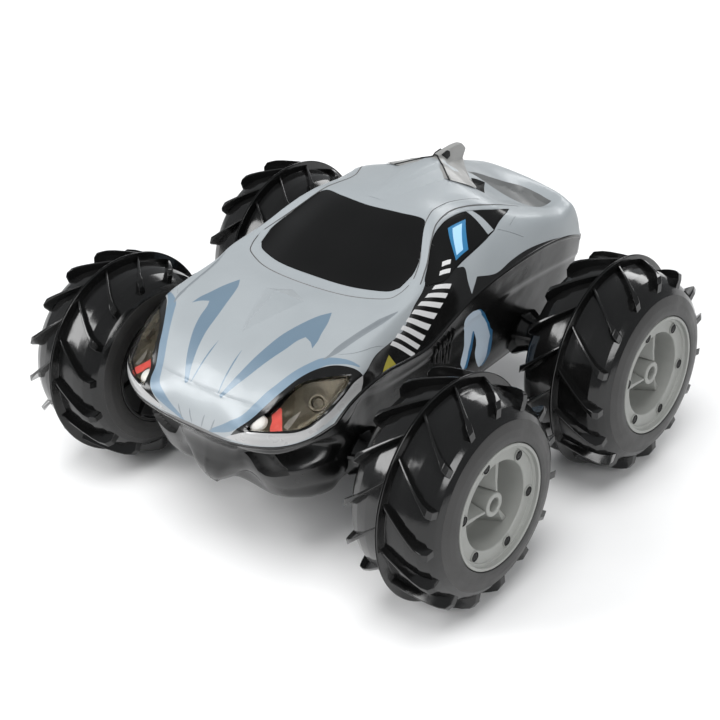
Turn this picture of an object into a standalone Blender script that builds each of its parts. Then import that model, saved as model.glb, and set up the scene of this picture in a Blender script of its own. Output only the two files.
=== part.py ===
"""Radio-controlled amphibious stunt car: a coupe shell on a boat-like hull with four paddle wheels.

The nose points to -Y, +Z is up, and the origin is on the ground under the middle of the car.
Each side is driven by one geared motor through a train of five spur gears. Units are metres.
"""
import math

import bmesh
import bpy
from mathutils import Matrix, Vector

MM = 0.001


def mm(*values):
    """Millimetres to metres."""
    return tuple(value * MM for value in values)


GAP = 0.3 * MM                 # clearance between pieces that touch
SMOOTH = 30                    # degrees: sharper edges than this stay crisp
BEVEL_ANGLE = 40               # degrees: sharper edges than this are rounded

# Wheels
WHEEL_RADIUS = 60 * MM         # over the middle rib
AXLE_Y = 71.5 * MM             # half the wheelbase
AXLE_Z = WHEEL_RADIUS
RIB_X = 118.3 * MM             # half the track, measured at the ribs
WHEEL_SEGMENTS = 20
RIM_SEGMENTS = 16
BORE_SEGMENTS = 12
LUG_COUNT = 15
LUG_SWEEP = math.radians(21)   # turn of a paddle over the sweep length
LUG_SWEEP_LENGTH = 24.0
LUG_PHASE = math.radians(23.3)

# Sections in millimetres as (distance from the rib, radius). In the tyre's, the last value tells
# whether the flats of the turned polygon reach the radius, instead of its corners.
TYRE_SECTION = [(0.15, 60, True), (0.9, 60, True), (1.1, 54, False), (23, 48.5, False), (28, 42.5, False),
                (29.4, 33.4, True), (26.4, 33.4, True), (22, 45, False), (0.15, 51, False)]
RIM_SECTION = [(29.4, 33.1), (29.4, 30.2), (26.2, 29.8), (26.0, 23.4), (7.0, 20.0), (6.0, 7.0), (25.2, 6.5),
               (25.2, 2.3), (3.0, 2.3), (3.0, 21.5), (23.0, 25.5), (23.6, 33.1)]
HUB_SECTION = [(29.2, 33.1), (26.6, 33.1), (24.0, 7.0), (8.0, 7.0), (8.0, 2.3), (30.5, 2.3), (30.5, 8.0)]
BUSH_SECTION = [(7, 4.7), (7, 2.4), (-7, 2.4), (-7, 4.7)]
# Sections of a paddle in millimetres: distance from the rib, lowest radius, highest radius, width.
LUG_SECTIONS = [(0.6, 51.8, 57.5, 2.2), (22.5, 46.5, 56.0, 4.6), (26.5, 43.0, 46.6, 4.6)]

# Axles: distances from the middle of the car
SHAFT_RADIUS = 2.0 * MM
SHAFT_ENDS = mm(36, 130)
BUSH_X = 76 * MM
TUBE_RADIUS = 8 * MM
TUBE_ENDS = mm(57, 84)
TUBE_BORE_RADIUS = 5 * MM
TUBE_BORE_ENDS = mm(50, 90)

# Gear train
GEAR_MODULE = 2.0 * MM
ADDENDUM = 0.8                 # in modules
DEDENDUM = 1.15                # in modules
TOOTH_TIP = 0.10               # half widths of a tooth, as a share of the pitch
TOOTH_ROOT = 0.33
AXLE_TEETH = 12
IDLER_TEETH = 22
CENTRE_TEETH = 18
PINION_TEETH = 8
CENTRE_GEAR_Z = 68 * MM
GEAR_X = 38.0 * MM             # inner face of the gears
GEAR_WIDTH = 5.0 * MM
PIN_RADIUS = 1.6 * MM
PIN_ENDS = mm(36, 44.5)
PINION_BORE = 1.3 * MM
CASE_FACES = mm(35.2, 37.2)
CASE_OUTLINE = [(-82, 54), (82, 54), (82, 68), (60, 96), (20, 108), (-20, 108), (-60, 96), (-82, 68)]
CASE_HOLE_ENDS = mm(30, 40)
AXLE_HOLE_RADIUS = 2.6 * MM
MOTOR_HOLE_RADIUS = 2.4 * MM
MOTOR_RADIUS = 12 * MM
MOTOR_ENDS = mm(4, 34.8)
MOTOR_SHAFT_RADIUS = 1.0 * MM
MOTOR_SHAFT_ENDS = mm(30, 42.8)

# Shell
WALL = 1.6 * MM
PRISM_REACH = 12 * MM          # depth of the cutters that shape the openings
SEAM = 1.5 * MM                # drop from the shell's edge to the hull's edge
OPENING_GROWTH = 0.04          # how far an opening is wider than its pane, in net units
BOWL_INSET = 0.25              # how far a headlight bowl is smaller than its lens, in net units
BOWL_DEPTH = 4.5 * MM
BOWL_WALL = 2 * MM
# Roof blisters: first and last station, half width, and height in millimetres along the length.
SCOOP = (9.55, 11.55, lambda t: 0.25 + 0.75 * t, lambda t: 1.2 + 2.6 * t)
FIN = (11.6, 12.6, lambda t: 1.0 - 0.85 * t, lambda t: 4.0 + 10.0 * t)
BLISTER_STEPS = 7
BLISTER_ACROSS = 6
BLISTER_SINK = 0.5 * MM        # how far above the skin a blister's underside lies
BLISTER_EDGE = 0.6 * MM        # thickness at its edge
BLISTER_POWER = 1.6            # how flat its crown is
BLISTER_SMOOTH = 50

# Boxes as (low corner, high corner)
BELLY_Z = 41.0 * MM            # flat face round the battery bay
BELLY = mm(-36, -39.5, 41), mm(36, 42, 48)
STAND_PAD = mm(-24, -64, 40.2), mm(24, -41.5, 46.5)
DOOR = mm(-30, -33.5, 41), mm(30, 34, 43)
BAY = mm(-30.3, -35.1, 36), mm(30.3, 34.3, 52)
SEAL = mm(-29.5, -31.5, 43.3), mm(29.5, 33.5, 44.5)
SEAL_WINDOW = mm(-27, -29, 40), mm(27, 20, 50)
SEAL_LATCH_ROOM = mm(-10, 22, 40), mm(10, 31.5, 50)
BATTERY = mm(-29, -32, 50), mm(29, 32, 66)
BATTERY_EDGE = 3 * MM
BOARD = mm(-28, -62, 72), mm(28, -14, 73.6)
BOARD_PARTS = mm(-14, -52, 73), mm(12, -30, 78)
SWITCH_SLOT = mm(-2.6, 79, 38), mm(2.6, 89, 52)
SWITCH_HOUSING = mm(-5, 75, 49.2), mm(5, 93, 56)
SWITCH_KNOB = mm(-2.2, 79.4, 43), mm(2.2, 84.4, 48.9)
SWITCH_ORIGIN = mm(0, 82, 46)
SWITCH_EDGE = 0.5 * MM

# Door hinge and latch
HINGE = mm(-33.5, 42.2)        # the hinge line's Y and Z
KNUCKLE_RADIUS = 1.2 * MM
KNUCKLE_HALF_X = 26 * MM
LATCH_CENTRE = mm(0, 27, 42.2)
LATCH_RADIUS = 3.0 * MM
LATCH_HEIGHT = 3.4 * MM
LATCH_HOLE_RADIUS = 3.4 * MM
LATCH_HOLE_HALF = 8 * MM

# Control points of the upper skin, in millimetres. A row runs from the centre line to the lower edge.
SHELL_NET = [
    [(0, -129.4, 83.4), (21, -129.8, 84.5), (41.5, -129.2, 88.3),
     (56, -123.3, 90.6), (66, -114, 94), (70.5, -102, 97)],
    [(0, -127.5, 92), (21, -128.5, 92.8), (40, -130, 96),
     (56, -122, 97.8), (66, -110, 100), (71, -96, 100.5)],
    [(0, -121.5, 101), (21, -122, 101.8), (38, -119, 102),
     (51, -114, 105.5), (66.5, -102, 106.5), (71.3, -89, 103.5)],
    [(0, -111, 110.5), (22, -110.5, 110.8), (41, -109, 110),
     (53, -101, 113), (68, -89, 113), (71.8, -80, 106)],
    [(0, -97, 118), (22, -97, 118.2), (43, -96, 118),
     (57, -89, 119), (68.5, -78, 116.5), (71.8, -70, 107)],
    [(0, -79, 123), (22, -79, 123), (43, -78, 122.5),
     (57, -73, 123), (66.5, -66, 120.3), (70.5, -59, 106)],
    [(0, -57, 126), (22, -56, 126), (44.5, -54, 125.5),
     (57.5, -51, 125.2), (65, -47, 122.2), (69, -44, 103)],
    [(0, -35, 128), (25, -33.5, 127.8), (46, -28, 127.3),
     (59.5, -31, 128.2), (64.5, -28.5, 124.5), (68.5, -25, 101.5)],
    [(0, -12, 139.3), (24, -10.5, 139), (45.5, -4, 136.5),
     (56, -7.3, 134.6), (63, -5, 125.5), (68.5, -3, 107.5)],
    [(0, 13.5, 149.5), (20, 14.5, 149.3), (36.5, 18, 147.4),
     (46.5, 13, 143.7), (59, 15, 129), (68.5, 14, 112)],
    [(0, 36, 151.5), (20, 36, 150.3), (35, 40, 146.8),
     (45.5, 40, 142.8), (59.5, 35, 131.5), (68.5, 35, 114)],
    [(0, 60, 151), (20, 60, 149), (39, 61, 144.6),
     (50.5, 62, 138.5), (60, 59, 131), (68.5, 59, 114.5)],
    [(0, 82, 147), (20, 82, 144.5), (36, 84.5, 132.5),
     (50, 86, 129.5), (62, 85, 126), (68, 85, 112.5)],
    [(0, 106, 138.5), (20, 108, 130.5), (41, 109.5, 119),
     (54, 108, 121), (63, 105, 119), (67, 105, 108)],
    [(0, 130, 125), (22, 130, 123.5), (42, 128, 121),
     (54, 124, 119.5), (61, 121, 116.5), (64, 121, 101)],
    [(0, 135, 104), (22, 134.5, 103), (42, 133, 101.5),
     (54, 130, 100), (60.5, 127, 99), (62.5, 124, 98)],
]

# Control points of the hull below the parting line. Its stations follow the shell's lower edge from
# the stem, round the side, to the stern post, and each one runs down the side to the keel.
HULL_NET = [
    [(0, -128.5, 76), (0, -127.5, 68), (0, -125.5, 58), (0, -122.5, 49), (0, -119, 45.5)],
    [(20, -126.5, 76), (18, -124.5, 67), (15, -122, 57), (10, -119.5, 48.5), (0, -114, 44.5)],
    [(41, -124.5, 78), (39, -121, 68), (34, -118, 57), (24, -114, 47), (0, -106, 43.5)],
    [(55.5, -118.5, 79), (53.5, -114.5, 68), (49, -110, 56), (37, -104, 46), (0, -95, 43)],
    [(65, -108, 82), (62, -103, 69), (57.5, -98, 57), (43, -92, 45), (0, -88, 42.6)],
    [(69, -95, 86), (65, -90, 72), (60, -86, 58), (46, -82, 43.8), (0, -79, 42.2)],
    [(68, -86, 95), (64, -82, 76), (60, -78, 59), (46, -75, 43.2), (0, -71, 42)],
    [(67.5, -80, 99), (63.5, -76, 79), (60, -72, 59.5), (46, -69, 43), (0, -64, 42)],
    [(67, -73, 100), (63, -70, 80), (60, -66, 60), (46, -63, 43), (0, -57, 42)],
    [(67, -65, 98), (63, -63, 80), (60, -60, 60), (46, -56, 43), (0, -51, 42)],
    [(66.5, -57, 96), (63, -55, 79), (60, -53, 60), (46, -49, 43), (0, -45, 42)],
    [(66, -43, 94), (63, -41, 79), (60, -39, 60), (46, -36, 43), (0, -34, 42)],
    [(65.5, -24, 93), (62.5, -22, 78), (60, -20, 60), (46, -18, 43), (0, -16, 42)],
    [(65.5, -3, 96), (62.5, -2, 79), (60, 0, 60), (46, 0, 43), (0, 0, 42)],
    [(65.5, 14, 98), (62.5, 16, 80), (60, 18, 60), (46, 18, 43), (0, 18, 42)],
    [(65.5, 35, 99), (62.5, 37, 80), (60, 38, 60), (46, 38, 43), (0, 38, 42)],
    [(65.5, 59, 99), (62.5, 60, 80), (60, 61, 60), (46, 61, 43), (0, 61, 42)],
    [(65.5, 85, 97), (62.5, 85, 79), (60, 85, 60), (46, 83, 43.5), (0, 82, 42.5)],
    [(65, 105, 94), (62, 105, 77), (58, 105, 61), (44, 102, 48), (0, 100, 46)],
    [(62.5, 119, 90), (60, 119, 76), (55, 118, 62), (42, 113, 53), (0, 109, 50)],
    [(61, 124, 88), (58, 124, 75), (53, 122, 63), (40, 118, 55), (0, 114, 53)],
    [(59, 127, 88), (56, 126, 76), (50, 124, 64), (37, 120, 57), (0, 117, 55)],
    [(53, 129.5, 89), (50, 128.5, 77), (45, 126, 66), (33, 122, 59.5), (0, 119, 57)],
    [(41, 132, 91), (38, 131, 79), (33, 128.5, 69), (24, 125.5, 62), (0, 122, 60)],
    [(21, 134, 92), (19, 132.5, 81), (16, 130.5, 72), (11, 128, 66), (0, 125, 63)],
    [(0, 134.8, 93), (0, 133.5, 82), (0, 132, 74), (0, 130, 68), (0, 128, 65)],
]

# ---------------------------------------------------------------- helpers

def clear_scene():
    for obj in list(bpy.data.objects):
        bpy.data.objects.remove(obj, do_unlink=True)


def make_collection(name):
    collection = bpy.data.collections.new(name)
    bpy.context.scene.collection.children.link(collection)
    return collection


def material(name, colour, roughness, metallic=0.0):
    mat = bpy.data.materials.new(name)
    mat.use_nodes = True
    shader = mat.node_tree.nodes["Principled BSDF"]
    shader.inputs["Base Color"].default_value = (*colour, 1.0)
    shader.inputs["Roughness"].default_value = roughness
    shader.inputs["Metallic"].default_value = metallic
    return mat


def new_object(name, mesh, mat, collection):
    obj = bpy.data.objects.new(name, mesh)
    collection.objects.link(obj)
    if mat and not mesh.materials:
        mesh.materials.append(mat)
    return obj


def mesh_from_bmesh(name, bm, smooth_angle=None):
    bmesh.ops.recalc_face_normals(bm, faces=bm.faces)
    mesh = bpy.data.meshes.new(name)
    bm.to_mesh(mesh)
    bm.free()
    if smooth_angle is not None:
        mesh.shade_smooth()
        mesh.set_sharp_from_angle(angle=math.radians(smooth_angle))
    return mesh


def box_mesh(name, box):
    low, high = box
    bm = bmesh.new()
    size = [high[i] - low[i] for i in range(3)]
    centre = [(high[i] + low[i]) / 2 for i in range(3)]
    matrix = Matrix.Translation(centre) @ Matrix.Diagonal((*size, 1))
    bmesh.ops.create_cube(bm, size=1.0, matrix=matrix)
    return mesh_from_bmesh(name, bm)


def x_cylinder_mesh(name, radius, side, ends, y, z, segments=20):
    """A closed cylinder along X, between two distances from the middle of the car."""
    bm = bmesh.new()
    x0, x1 = side * ends[0], side * ends[1]
    matrix = Matrix.Translation(((x0 + x1) / 2, y, z)) @ Matrix.Rotation(math.pi / 2, 4, "Y")
    bmesh.ops.create_cone(bm, cap_ends=True, segments=segments, radius1=radius, radius2=radius,
                          depth=abs(x1 - x0), matrix=matrix)
    return mesh_from_bmesh(name, bm, SMOOTH)


def cutter(name, mesh):
    obj = new_object(name, mesh, None, CUTTERS)
    obj.display_type = "WIRE"
    obj.hide_render = True
    return obj


def boolean(obj, other, operation):
    mod = obj.modifiers.new(operation.lower(), "BOOLEAN")
    mod.operation = operation
    mod.solver = "EXACT"
    mod.object = other


def bevel(obj, width, segments=1):
    mod = obj.modifiers.new("bevel", "BEVEL")
    mod.width = width
    mod.segments = segments
    mod.limit_method = "ANGLE"
    mod.angle_limit = math.radians(BEVEL_ANGLE)


def turned_mesh(name, section, segments):
    """A closed section of (axial, radius) points in millimetres, turned about the local Z axis."""
    bm = bmesh.new()
    rings = []
    for step in range(segments):
        turn = (step + 0.5) * 2 * math.pi / segments
        ring = [bm.verts.new(mm(radius * math.cos(turn), radius * math.sin(turn), axial))
                for axial, radius in section]
        rings.append(ring)
    count = len(section)
    for step in range(segments):
        here, there = rings[step], rings[(step + 1) % segments]
        for i in range(count):
            j = (i + 1) % count
            bm.faces.new((here[i], here[j], there[j], there[i]))
    return mesh_from_bmesh(name, bm, SMOOTH)


# ---------------------------------------------------------------- curved skins

def catmull(p0, p1, p2, p3, t):
    return 0.5 * (2 * p1 + (p2 - p0) * t + (2 * p0 - 5 * p1 + 4 * p2 - p3) * t * t
                  + (3 * p1 - p0 - 3 * p2 + p3) * t ** 3)


def pick(points, index):
    if index < 0:
        return 2 * points[0] - points[1]
    if index >= len(points):
        return 2 * points[-1] - points[-2]
    return points[index]


def along(points, t):
    """A point on the smooth curve through the control points."""
    i = max(0, min(int(math.floor(t)), len(points) - 2))
    return catmull(*[pick(points, i + step) for step in (-1, 0, 1, 2)], t - i)


def full_rows(net):
    rows = []
    for row in net:
        left = [Vector(p) * MM for p in row]
        right = [Vector((-p.x, p.y, p.z)) for p in left[:0:-1]]
        rows.append(right + left)
    return rows


SHELL_ROWS = full_rows(SHELL_NET)
RAILS = len(SHELL_NET[0]) - 1
NORMAL_STEP = 0.05             # net units
MERGE_DISTANCE = 0.01 * MM
SKIN_SMOOTH = 60


def shell_point(u, v):
    """u counts rows from the nose; v counts rails from the centre line, negative on the right."""
    i = max(0, min(int(math.floor(u)), len(SHELL_ROWS) - 2))
    row = [catmull(*[pick([r[k] for r in SHELL_ROWS], i + step) for step in (-1, 0, 1, 2)], u - i)
           for k in range(2 * RAILS + 1)]
    return along(row, v + RAILS)


def shell_edge():
    """The shell's lower edge on the left side, from the middle of the nose to the middle of the tail."""
    last = len(SHELL_NET) - 1
    nose = [shell_point(0, v) for v in range(RAILS + 1)]
    side = [shell_point(u, RAILS) for u in range(1, last)]
    tail = [shell_point(last, v) for v in range(RAILS, -1, -1)]
    return nose + side + tail


def shell_normal(u, v):
    du = shell_point(u + NORMAL_STEP, v) - shell_point(u - NORMAL_STEP, v)
    dv = shell_point(u, v + NORMAL_STEP) - shell_point(u, v - NORMAL_STEP)
    return dv.cross(du).normalized()


def shell_offset(u, v, height):
    return shell_point(u, v) + shell_normal(u, v) * height


def grid_mesh(name, rows, faces_up):
    """An open surface through rows of points, with its faces pointing up or down."""
    bm = bmesh.new()
    verts = [[bm.verts.new(p) for p in row] for row in rows]
    for a, b in zip(verts, verts[1:]):
        for k in range(len(a) - 1):
            bm.faces.new((a[k], a[k + 1], b[k + 1], b[k]))
    bmesh.ops.remove_doubles(bm, verts=bm.verts, dist=MERGE_DISTANCE)
    bmesh.ops.recalc_face_normals(bm, faces=bm.faces)
    lift = sum(face.normal.z * face.calc_area() for face in bm.faces)
    if (lift > 0) != faces_up:
        bmesh.ops.reverse_faces(bm, faces=bm.faces)
    mesh = bpy.data.meshes.new(name)
    bm.to_mesh(mesh)
    bm.free()
    mesh.shade_smooth()
    mesh.set_sharp_from_angle(angle=math.radians(SKIN_SMOOTH))
    return mesh


def prism_mesh(name, outline, reach):
    """A prism through the skin along its mean normal, on an outline of (u, v) points."""
    count = len(outline)
    middle = shell_point(sum(p[0] for p in outline) / count, sum(p[1] for p in outline) / count)
    normal = sum((shell_normal(u, v) for u, v in outline), Vector()).normalized()
    bm = bmesh.new()
    loops = []
    for height in (reach, -reach):
        loops.append([bm.verts.new(shell_point(u, v) + normal * height) for u, v in outline])
        tip = bm.verts.new(middle + normal * height)
        for k in range(count):
            bm.faces.new((loops[-1][k], loops[-1][(k + 1) % count], tip))
    for k in range(count):
        m = (k + 1) % count
        bm.faces.new((loops[0][k], loops[1][k], loops[1][m], loops[0][m]))
    return mesh_from_bmesh(name, bm)


def rounded_outline(u0, u1, v0, v1, count=20, power=0.45):
    """A rounded rectangle in (u, v)."""
    points = []
    for k in range(count):
        turn = (k + 0.5) * 2 * math.pi / count
        c, s = math.cos(turn), math.sin(turn)
        pu = math.copysign(abs(c) ** power, c)
        pv = math.copysign(abs(s) ** power, s)
        points.append(((u0 + u1) / 2 + pu * (u1 - u0) / 2, (v0 + v1) / 2 + pv * (v1 - v0) / 2))
    return points


def grown(outline, amount):
    """The outline moved outwards by an amount in (u, v); a negative amount shrinks it."""
    count = len(outline)
    area = sum(outline[k - 1][0] * outline[k][1] - outline[k][0] * outline[k - 1][1]
               for k in range(count))
    sign = math.copysign(1, area)
    points = []
    for k in range(count):
        before, after = Vector(outline[k - 1]), Vector(outline[(k + 1) % count])
        run = (after - before).normalized()
        points.append((outline[k][0] + run.y * amount * sign,
                       outline[k][1] - run.x * amount * sign))
    return points


WINDSCREEN_OUTLINE = rounded_outline(7.05, 8.98, -2.1, 2.1)
LENS_OUTLINE = [(1.18, 1.9), (1.05, 2.9), (1.0, 3.6), (1.2, 3.95), (1.6, 4.15), (2.4, 4.25), (3.1, 4.15),
                (3.4, 3.9), (3.3, 3.3), (3.1, 2.8), (2.5, 2.52), (1.8, 2.15)]
WINDOW_OUTLINE = [(7.75, 3.6), (8.0, 3.25), (8.5, 3.1), (9.2, 3.0), (10.2, 2.98), (11.3, 3.08),
                  (10.9, 3.55), (10.3, 3.9), (9.2, 3.97), (8.4, 3.97)]


def mirrored(outline):
    return [(u, -v) for u, v in outline]

# ---------------------------------------------------------------- body

def skin_object(name, mat, wall=WALL, outer=0.0):
    """The whole upper skin as a wall, starting at a depth below the outer face."""
    rows = []
    for u in range(len(SHELL_NET)):
        rows.append([shell_offset(u, v, -outer) for v in range(-RAILS, RAILS + 1)])
    obj = new_object(name, grid_mesh(name, rows, True), mat, PARTS)
    add_wall(obj, wall)
    return obj


def add_wall(obj, thickness):
    solid = obj.modifiers.new("wall", "SOLIDIFY")
    solid.thickness = thickness
    solid.offset = -1
    solid.use_even_offset = False


def make_shell_and_panes():
    """The shell with its openings, and each pane as the piece of the same wall that fills one."""
    shell = skin_object("upper_shell", SILVER)
    panes = [("windscreen", WINDSCREEN_OUTLINE, BLACK_GLASS)]
    for side, flip in (("left", list), ("right", mirrored)):
        panes.append((f"headlight_lens_{side}", flip(LENS_OUTLINE), SMOKED))
        panes.append((f"side_window_{side}", flip(WINDOW_OUTLINE), BLACK_GLASS))
    for name, outline, mat in panes:
        opening = prism_mesh(name, grown(outline, OPENING_GROWTH), PRISM_REACH)
        boolean(shell, cutter(f"opening_{name}", opening), "DIFFERENCE")
        pane = skin_object(name, mat)
        boolean(pane, cutter(f"edge_{name}", prism_mesh(name, outline, PRISM_REACH)), "INTERSECT")
    for side, flip in (("left", list), ("right", mirrored)):
        bowl = skin_object(f"headlight_bowl_{side}", CHROME, BOWL_WALL, BOWL_DEPTH)
        inset = prism_mesh(f"bowl_{side}", flip(grown(LENS_OUTLINE, -BOWL_INSET)), PRISM_REACH)
        boolean(bowl, cutter(f"edge_bowl_{side}", inset), "INTERSECT")


def blister_mesh(name, u0, u1, width, height):
    """A ridge on the skin: width and height are functions of the share of its length."""
    bm = bmesh.new()
    top, bottom = [], []
    for i in range(BLISTER_STEPS):
        t = i / (BLISTER_STEPS - 1)
        row_top, row_bottom = [], []
        for k in range(BLISTER_ACROSS + 1):
            share = 2 * k / BLISTER_ACROSS - 1
            base = shell_offset(u0 + (u1 - u0) * t, width(t) * share, BLISTER_SINK)
            crown = height(t) * MM * (1 - abs(share) ** BLISTER_POWER) + BLISTER_EDGE
            row_bottom.append(bm.verts.new(base))
            row_top.append(bm.verts.new(base + Vector((0, 0, crown))))
        top.append(row_top)
        bottom.append(row_bottom)
    for i in range(BLISTER_STEPS - 1):
        for k in range(BLISTER_ACROSS):
            bm.faces.new((top[i][k], top[i][k + 1], top[i + 1][k + 1], top[i + 1][k]))
            bm.faces.new((bottom[i][k], bottom[i + 1][k], bottom[i + 1][k + 1], bottom[i][k + 1]))
        for k in (0, BLISTER_ACROSS):
            bm.faces.new((top[i][k], top[i + 1][k], bottom[i + 1][k], bottom[i][k]))
    for i in (0, BLISTER_STEPS - 1):
        for k in range(BLISTER_ACROSS):
            bm.faces.new((top[i][k], bottom[i][k], bottom[i][k + 1], top[i][k + 1]))
    return mesh_from_bmesh(name, bm, BLISTER_SMOOTH)


def make_roof_pieces():
    for name, shape in (("roof_scoop", SCOOP), ("tail_fin", FIN)):
        new_object(name, blister_mesh(name, *shape), SILVER, PARTS)


def make_lower_hull():
    edge = shell_edge()
    rows = []
    for k, net_row in enumerate(HULL_NET):
        run = (edge[min(k + 1, len(edge) - 1)] - edge[max(k - 1, 0)]).normalized()
        down = (run * run.z - Vector((0, 0, 1))).normalized()
        row = [edge[k] + down * SEAM] + [Vector(p) * MM for p in net_row]
        far = [Vector((-p.x, p.y, p.z)) for p in row]
        rows.append(row + far[-2::-1])
    hull = new_object("lower_hull", grid_mesh("lower_hull", rows, False), BLACK, PARTS)
    add_wall(hull, WALL)
    boolean(hull, cutter("hull_belly", box_mesh("belly", BELLY)), "UNION")
    boolean(hull, cutter("hull_pad", box_mesh("pad", STAND_PAD)), "UNION")
    for side in (1, -1):
        for end, y in (("front", -AXLE_Y), ("rear", AXLE_Y)):
            word = wheel_word(side, end)
            tube = x_cylinder_mesh(f"tube_{word}", TUBE_RADIUS, side, TUBE_ENDS, y, AXLE_Z)
            boolean(hull, cutter(f"tube_{word}", tube), "UNION")
            bore = x_cylinder_mesh(f"bore_{word}", TUBE_BORE_RADIUS, side, TUBE_BORE_ENDS, y, AXLE_Z)
            boolean(hull, cutter(f"bore_{word}", bore), "DIFFERENCE")
    boolean(hull, cutter("bay", box_mesh("bay", BAY)), "DIFFERENCE")
    boolean(hull, cutter("switch_slot", box_mesh("switch_slot", SWITCH_SLOT)), "DIFFERENCE")


# ---------------------------------------------------------------- wheels

def side_word(side):
    return "left" if side > 0 else "right"


def wheel_word(side, end):
    return f"{end}_{side_word(side)}"


def tyre_half_mesh():
    """One half of a float wheel, rib plane at local z = 0 and the side wall at local +z."""
    flat = 1 / math.cos(math.pi / WHEEL_SEGMENTS)
    section = [(axial, radius * (flat if flats else 1)) for axial, radius, flats in TYRE_SECTION]
    return turned_mesh("tyre_half", section, WHEEL_SEGMENTS)


def lug_ring_mesh(name, hand, shift):
    """All the paddles of one half: low and thin at the rib, tall and wide at the shoulder.

    hand is +1 or -1 and sets which way they sweep; shift turns them all, from the forward level.
    """
    bm = bmesh.new()
    for lug in range(LUG_COUNT):
        start = -math.pi / 2 - hand * (LUG_PHASE + shift) + lug * 2 * math.pi / LUG_COUNT
        loops = []
        for axial, low, high, width in LUG_SECTIONS:
            turn = start + hand * LUG_SWEEP * axial / LUG_SWEEP_LENGTH
            loop = []
            for radius, side in ((low, -1), (high, -1), (high, 1), (low, 1)):
                angle = turn + side * width / 2 / radius
                loop.append(bm.verts.new(mm(radius * math.cos(angle), radius * math.sin(angle), axial)))
            loops.append(loop)
        for a, b in zip(loops, loops[1:]):
            for k in range(4):
                m = (k + 1) % 4
                bm.faces.new((a[k], a[m], b[m], b[k]))
        bm.faces.new(loops[0])
        bm.faces.new(loops[-1][::-1])
    return mesh_from_bmesh(name, bm)


def make_wheel(side, end, tyre, rim, hub):
    """Tyre halves, rim, inner hub and axle of one wheel, on its axle's centre."""
    word = wheel_word(side, end)
    centre = Vector((side * RIB_X, -AXLE_Y if end == "front" else AXLE_Y, AXLE_Z))
    quarter = Matrix.Rotation(math.pi / 2, 4, "Y")
    outward = Matrix.Translation(centre) @ Matrix.Rotation(side * math.pi / 2, 4, "Y")
    inward = Matrix.Translation(centre) @ Matrix.Rotation(-side * math.pi / 2, 4, "Y")
    half_pitch = math.pi / LUG_COUNT
    for name, place, hand, shift in (("tyre_outer", outward, side, 0.0),
                                     ("tyre_inner", inward, -side, half_pitch)):
        half = new_object(f"{name}_{word}", tyre, TYRE, PARTS)
        half.matrix_world = place
        lugs = cutter(f"lugs_{name}_{word}", lug_ring_mesh(f"lugs_{name}_{word}", hand, shift))
        lugs.matrix_world = place
        boolean(half, lugs, "UNION")
    new_object(f"rim_{word}", rim, RIM_GREY, PARTS).matrix_world = outward
    new_object(f"inner_hub_{word}", hub, BLACK, PARTS).matrix_world = inward
    shaft = x_cylinder_mesh(f"axle_shaft_{word}", SHAFT_RADIUS, side, SHAFT_ENDS, centre.y, centre.z,
                            BORE_SEGMENTS)
    new_object(f"axle_shaft_{word}", shaft, STEEL, PARTS)
    bush = turned_mesh(f"axle_bush_{word}", BUSH_SECTION, BORE_SEGMENTS)
    ring = new_object(f"axle_bush_{word}", bush, BRONZE, PARTS)
    ring.matrix_world = Matrix.Translation((side * BUSH_X, centre.y, centre.z)) @ quarter


# ---------------------------------------------------------------- drive

def gear_outline(teeth, turn):
    """Tooth points of a spur gear with straight flanks and room for backlash."""
    pitch = GEAR_MODULE * teeth / 2
    tip = pitch + ADDENDUM * GEAR_MODULE
    root = pitch - DEDENDUM * GEAR_MODULE
    step = 2 * math.pi / teeth
    points = []
    for k in range(teeth):
        for radius, share in ((root, -TOOTH_ROOT), (tip, -TOOTH_TIP), (tip, TOOTH_TIP), (root, TOOTH_ROOT)):
            angle = turn + (k + share) * step
            points.append((radius * math.cos(angle), radius * math.sin(angle)))
    return points


def circle_outline(radius, turn):
    step = 2 * math.pi / BORE_SEGMENTS
    return [(radius * math.cos(turn + (k + 0.5) * step), radius * math.sin(turn + (k + 0.5) * step))
            for k in range(BORE_SEGMENTS)]


def gear_mesh(name, teeth, bore, turn):
    """A spur gear about local X, with its inner face at x = 0; the angle is from -Y towards +Z."""
    bm = bmesh.new()
    face_edges = {0.0: [], GEAR_WIDTH: []}
    for outline in (gear_outline(teeth, turn), circle_outline(bore, turn)):
        near, far = ([bm.verts.new((x, -a, b)) for a, b in outline] for x in face_edges)
        count = len(outline)
        for k in range(count):
            m = (k + 1) % count
            bm.faces.new((near[k], near[m], far[m], far[k]))
            face_edges[0.0].append(bm.edges.get((near[k], near[m])))
            face_edges[GEAR_WIDTH].append(bm.edges.get((far[k], far[m])))
    for edges in face_edges.values():
        bmesh.ops.triangle_fill(bm, edges=edges, use_beauty=True)
    return mesh_from_bmesh(name, bm)


def gear_centres():
    """Centres (y, z) of the front axle, front idler, centre gear and pinion, from their pitch radii."""
    axle = Vector((-AXLE_Y, AXLE_Z))
    centre = Vector((0.0, CENTRE_GEAR_Z))
    reach = centre - axle
    near = GEAR_MODULE * (AXLE_TEETH + IDLER_TEETH) / 2
    far = GEAR_MODULE * (CENTRE_TEETH + IDLER_TEETH) / 2
    span = reach.length
    part = (near ** 2 - far ** 2 + span ** 2) / (2 * span)
    rise = math.sqrt(near ** 2 - part ** 2)
    unit = reach / span
    idler = axle + unit * part + Vector((-unit.y, unit.x)) * rise
    pinion = centre + Vector((0.0, GEAR_MODULE * (CENTRE_TEETH + PINION_TEETH) / 2))
    return axle, idler, centre, pinion


def mesh_turn(angle, teeth, other_teeth, here, there):
    """Phase of the next gear so that its gap takes the tooth of the gear before it."""
    toward = math.atan2(there.y - here.y, -(there.x - here.x))
    return toward + math.pi + math.pi / other_teeth - (angle - toward) * teeth / other_teeth


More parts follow.
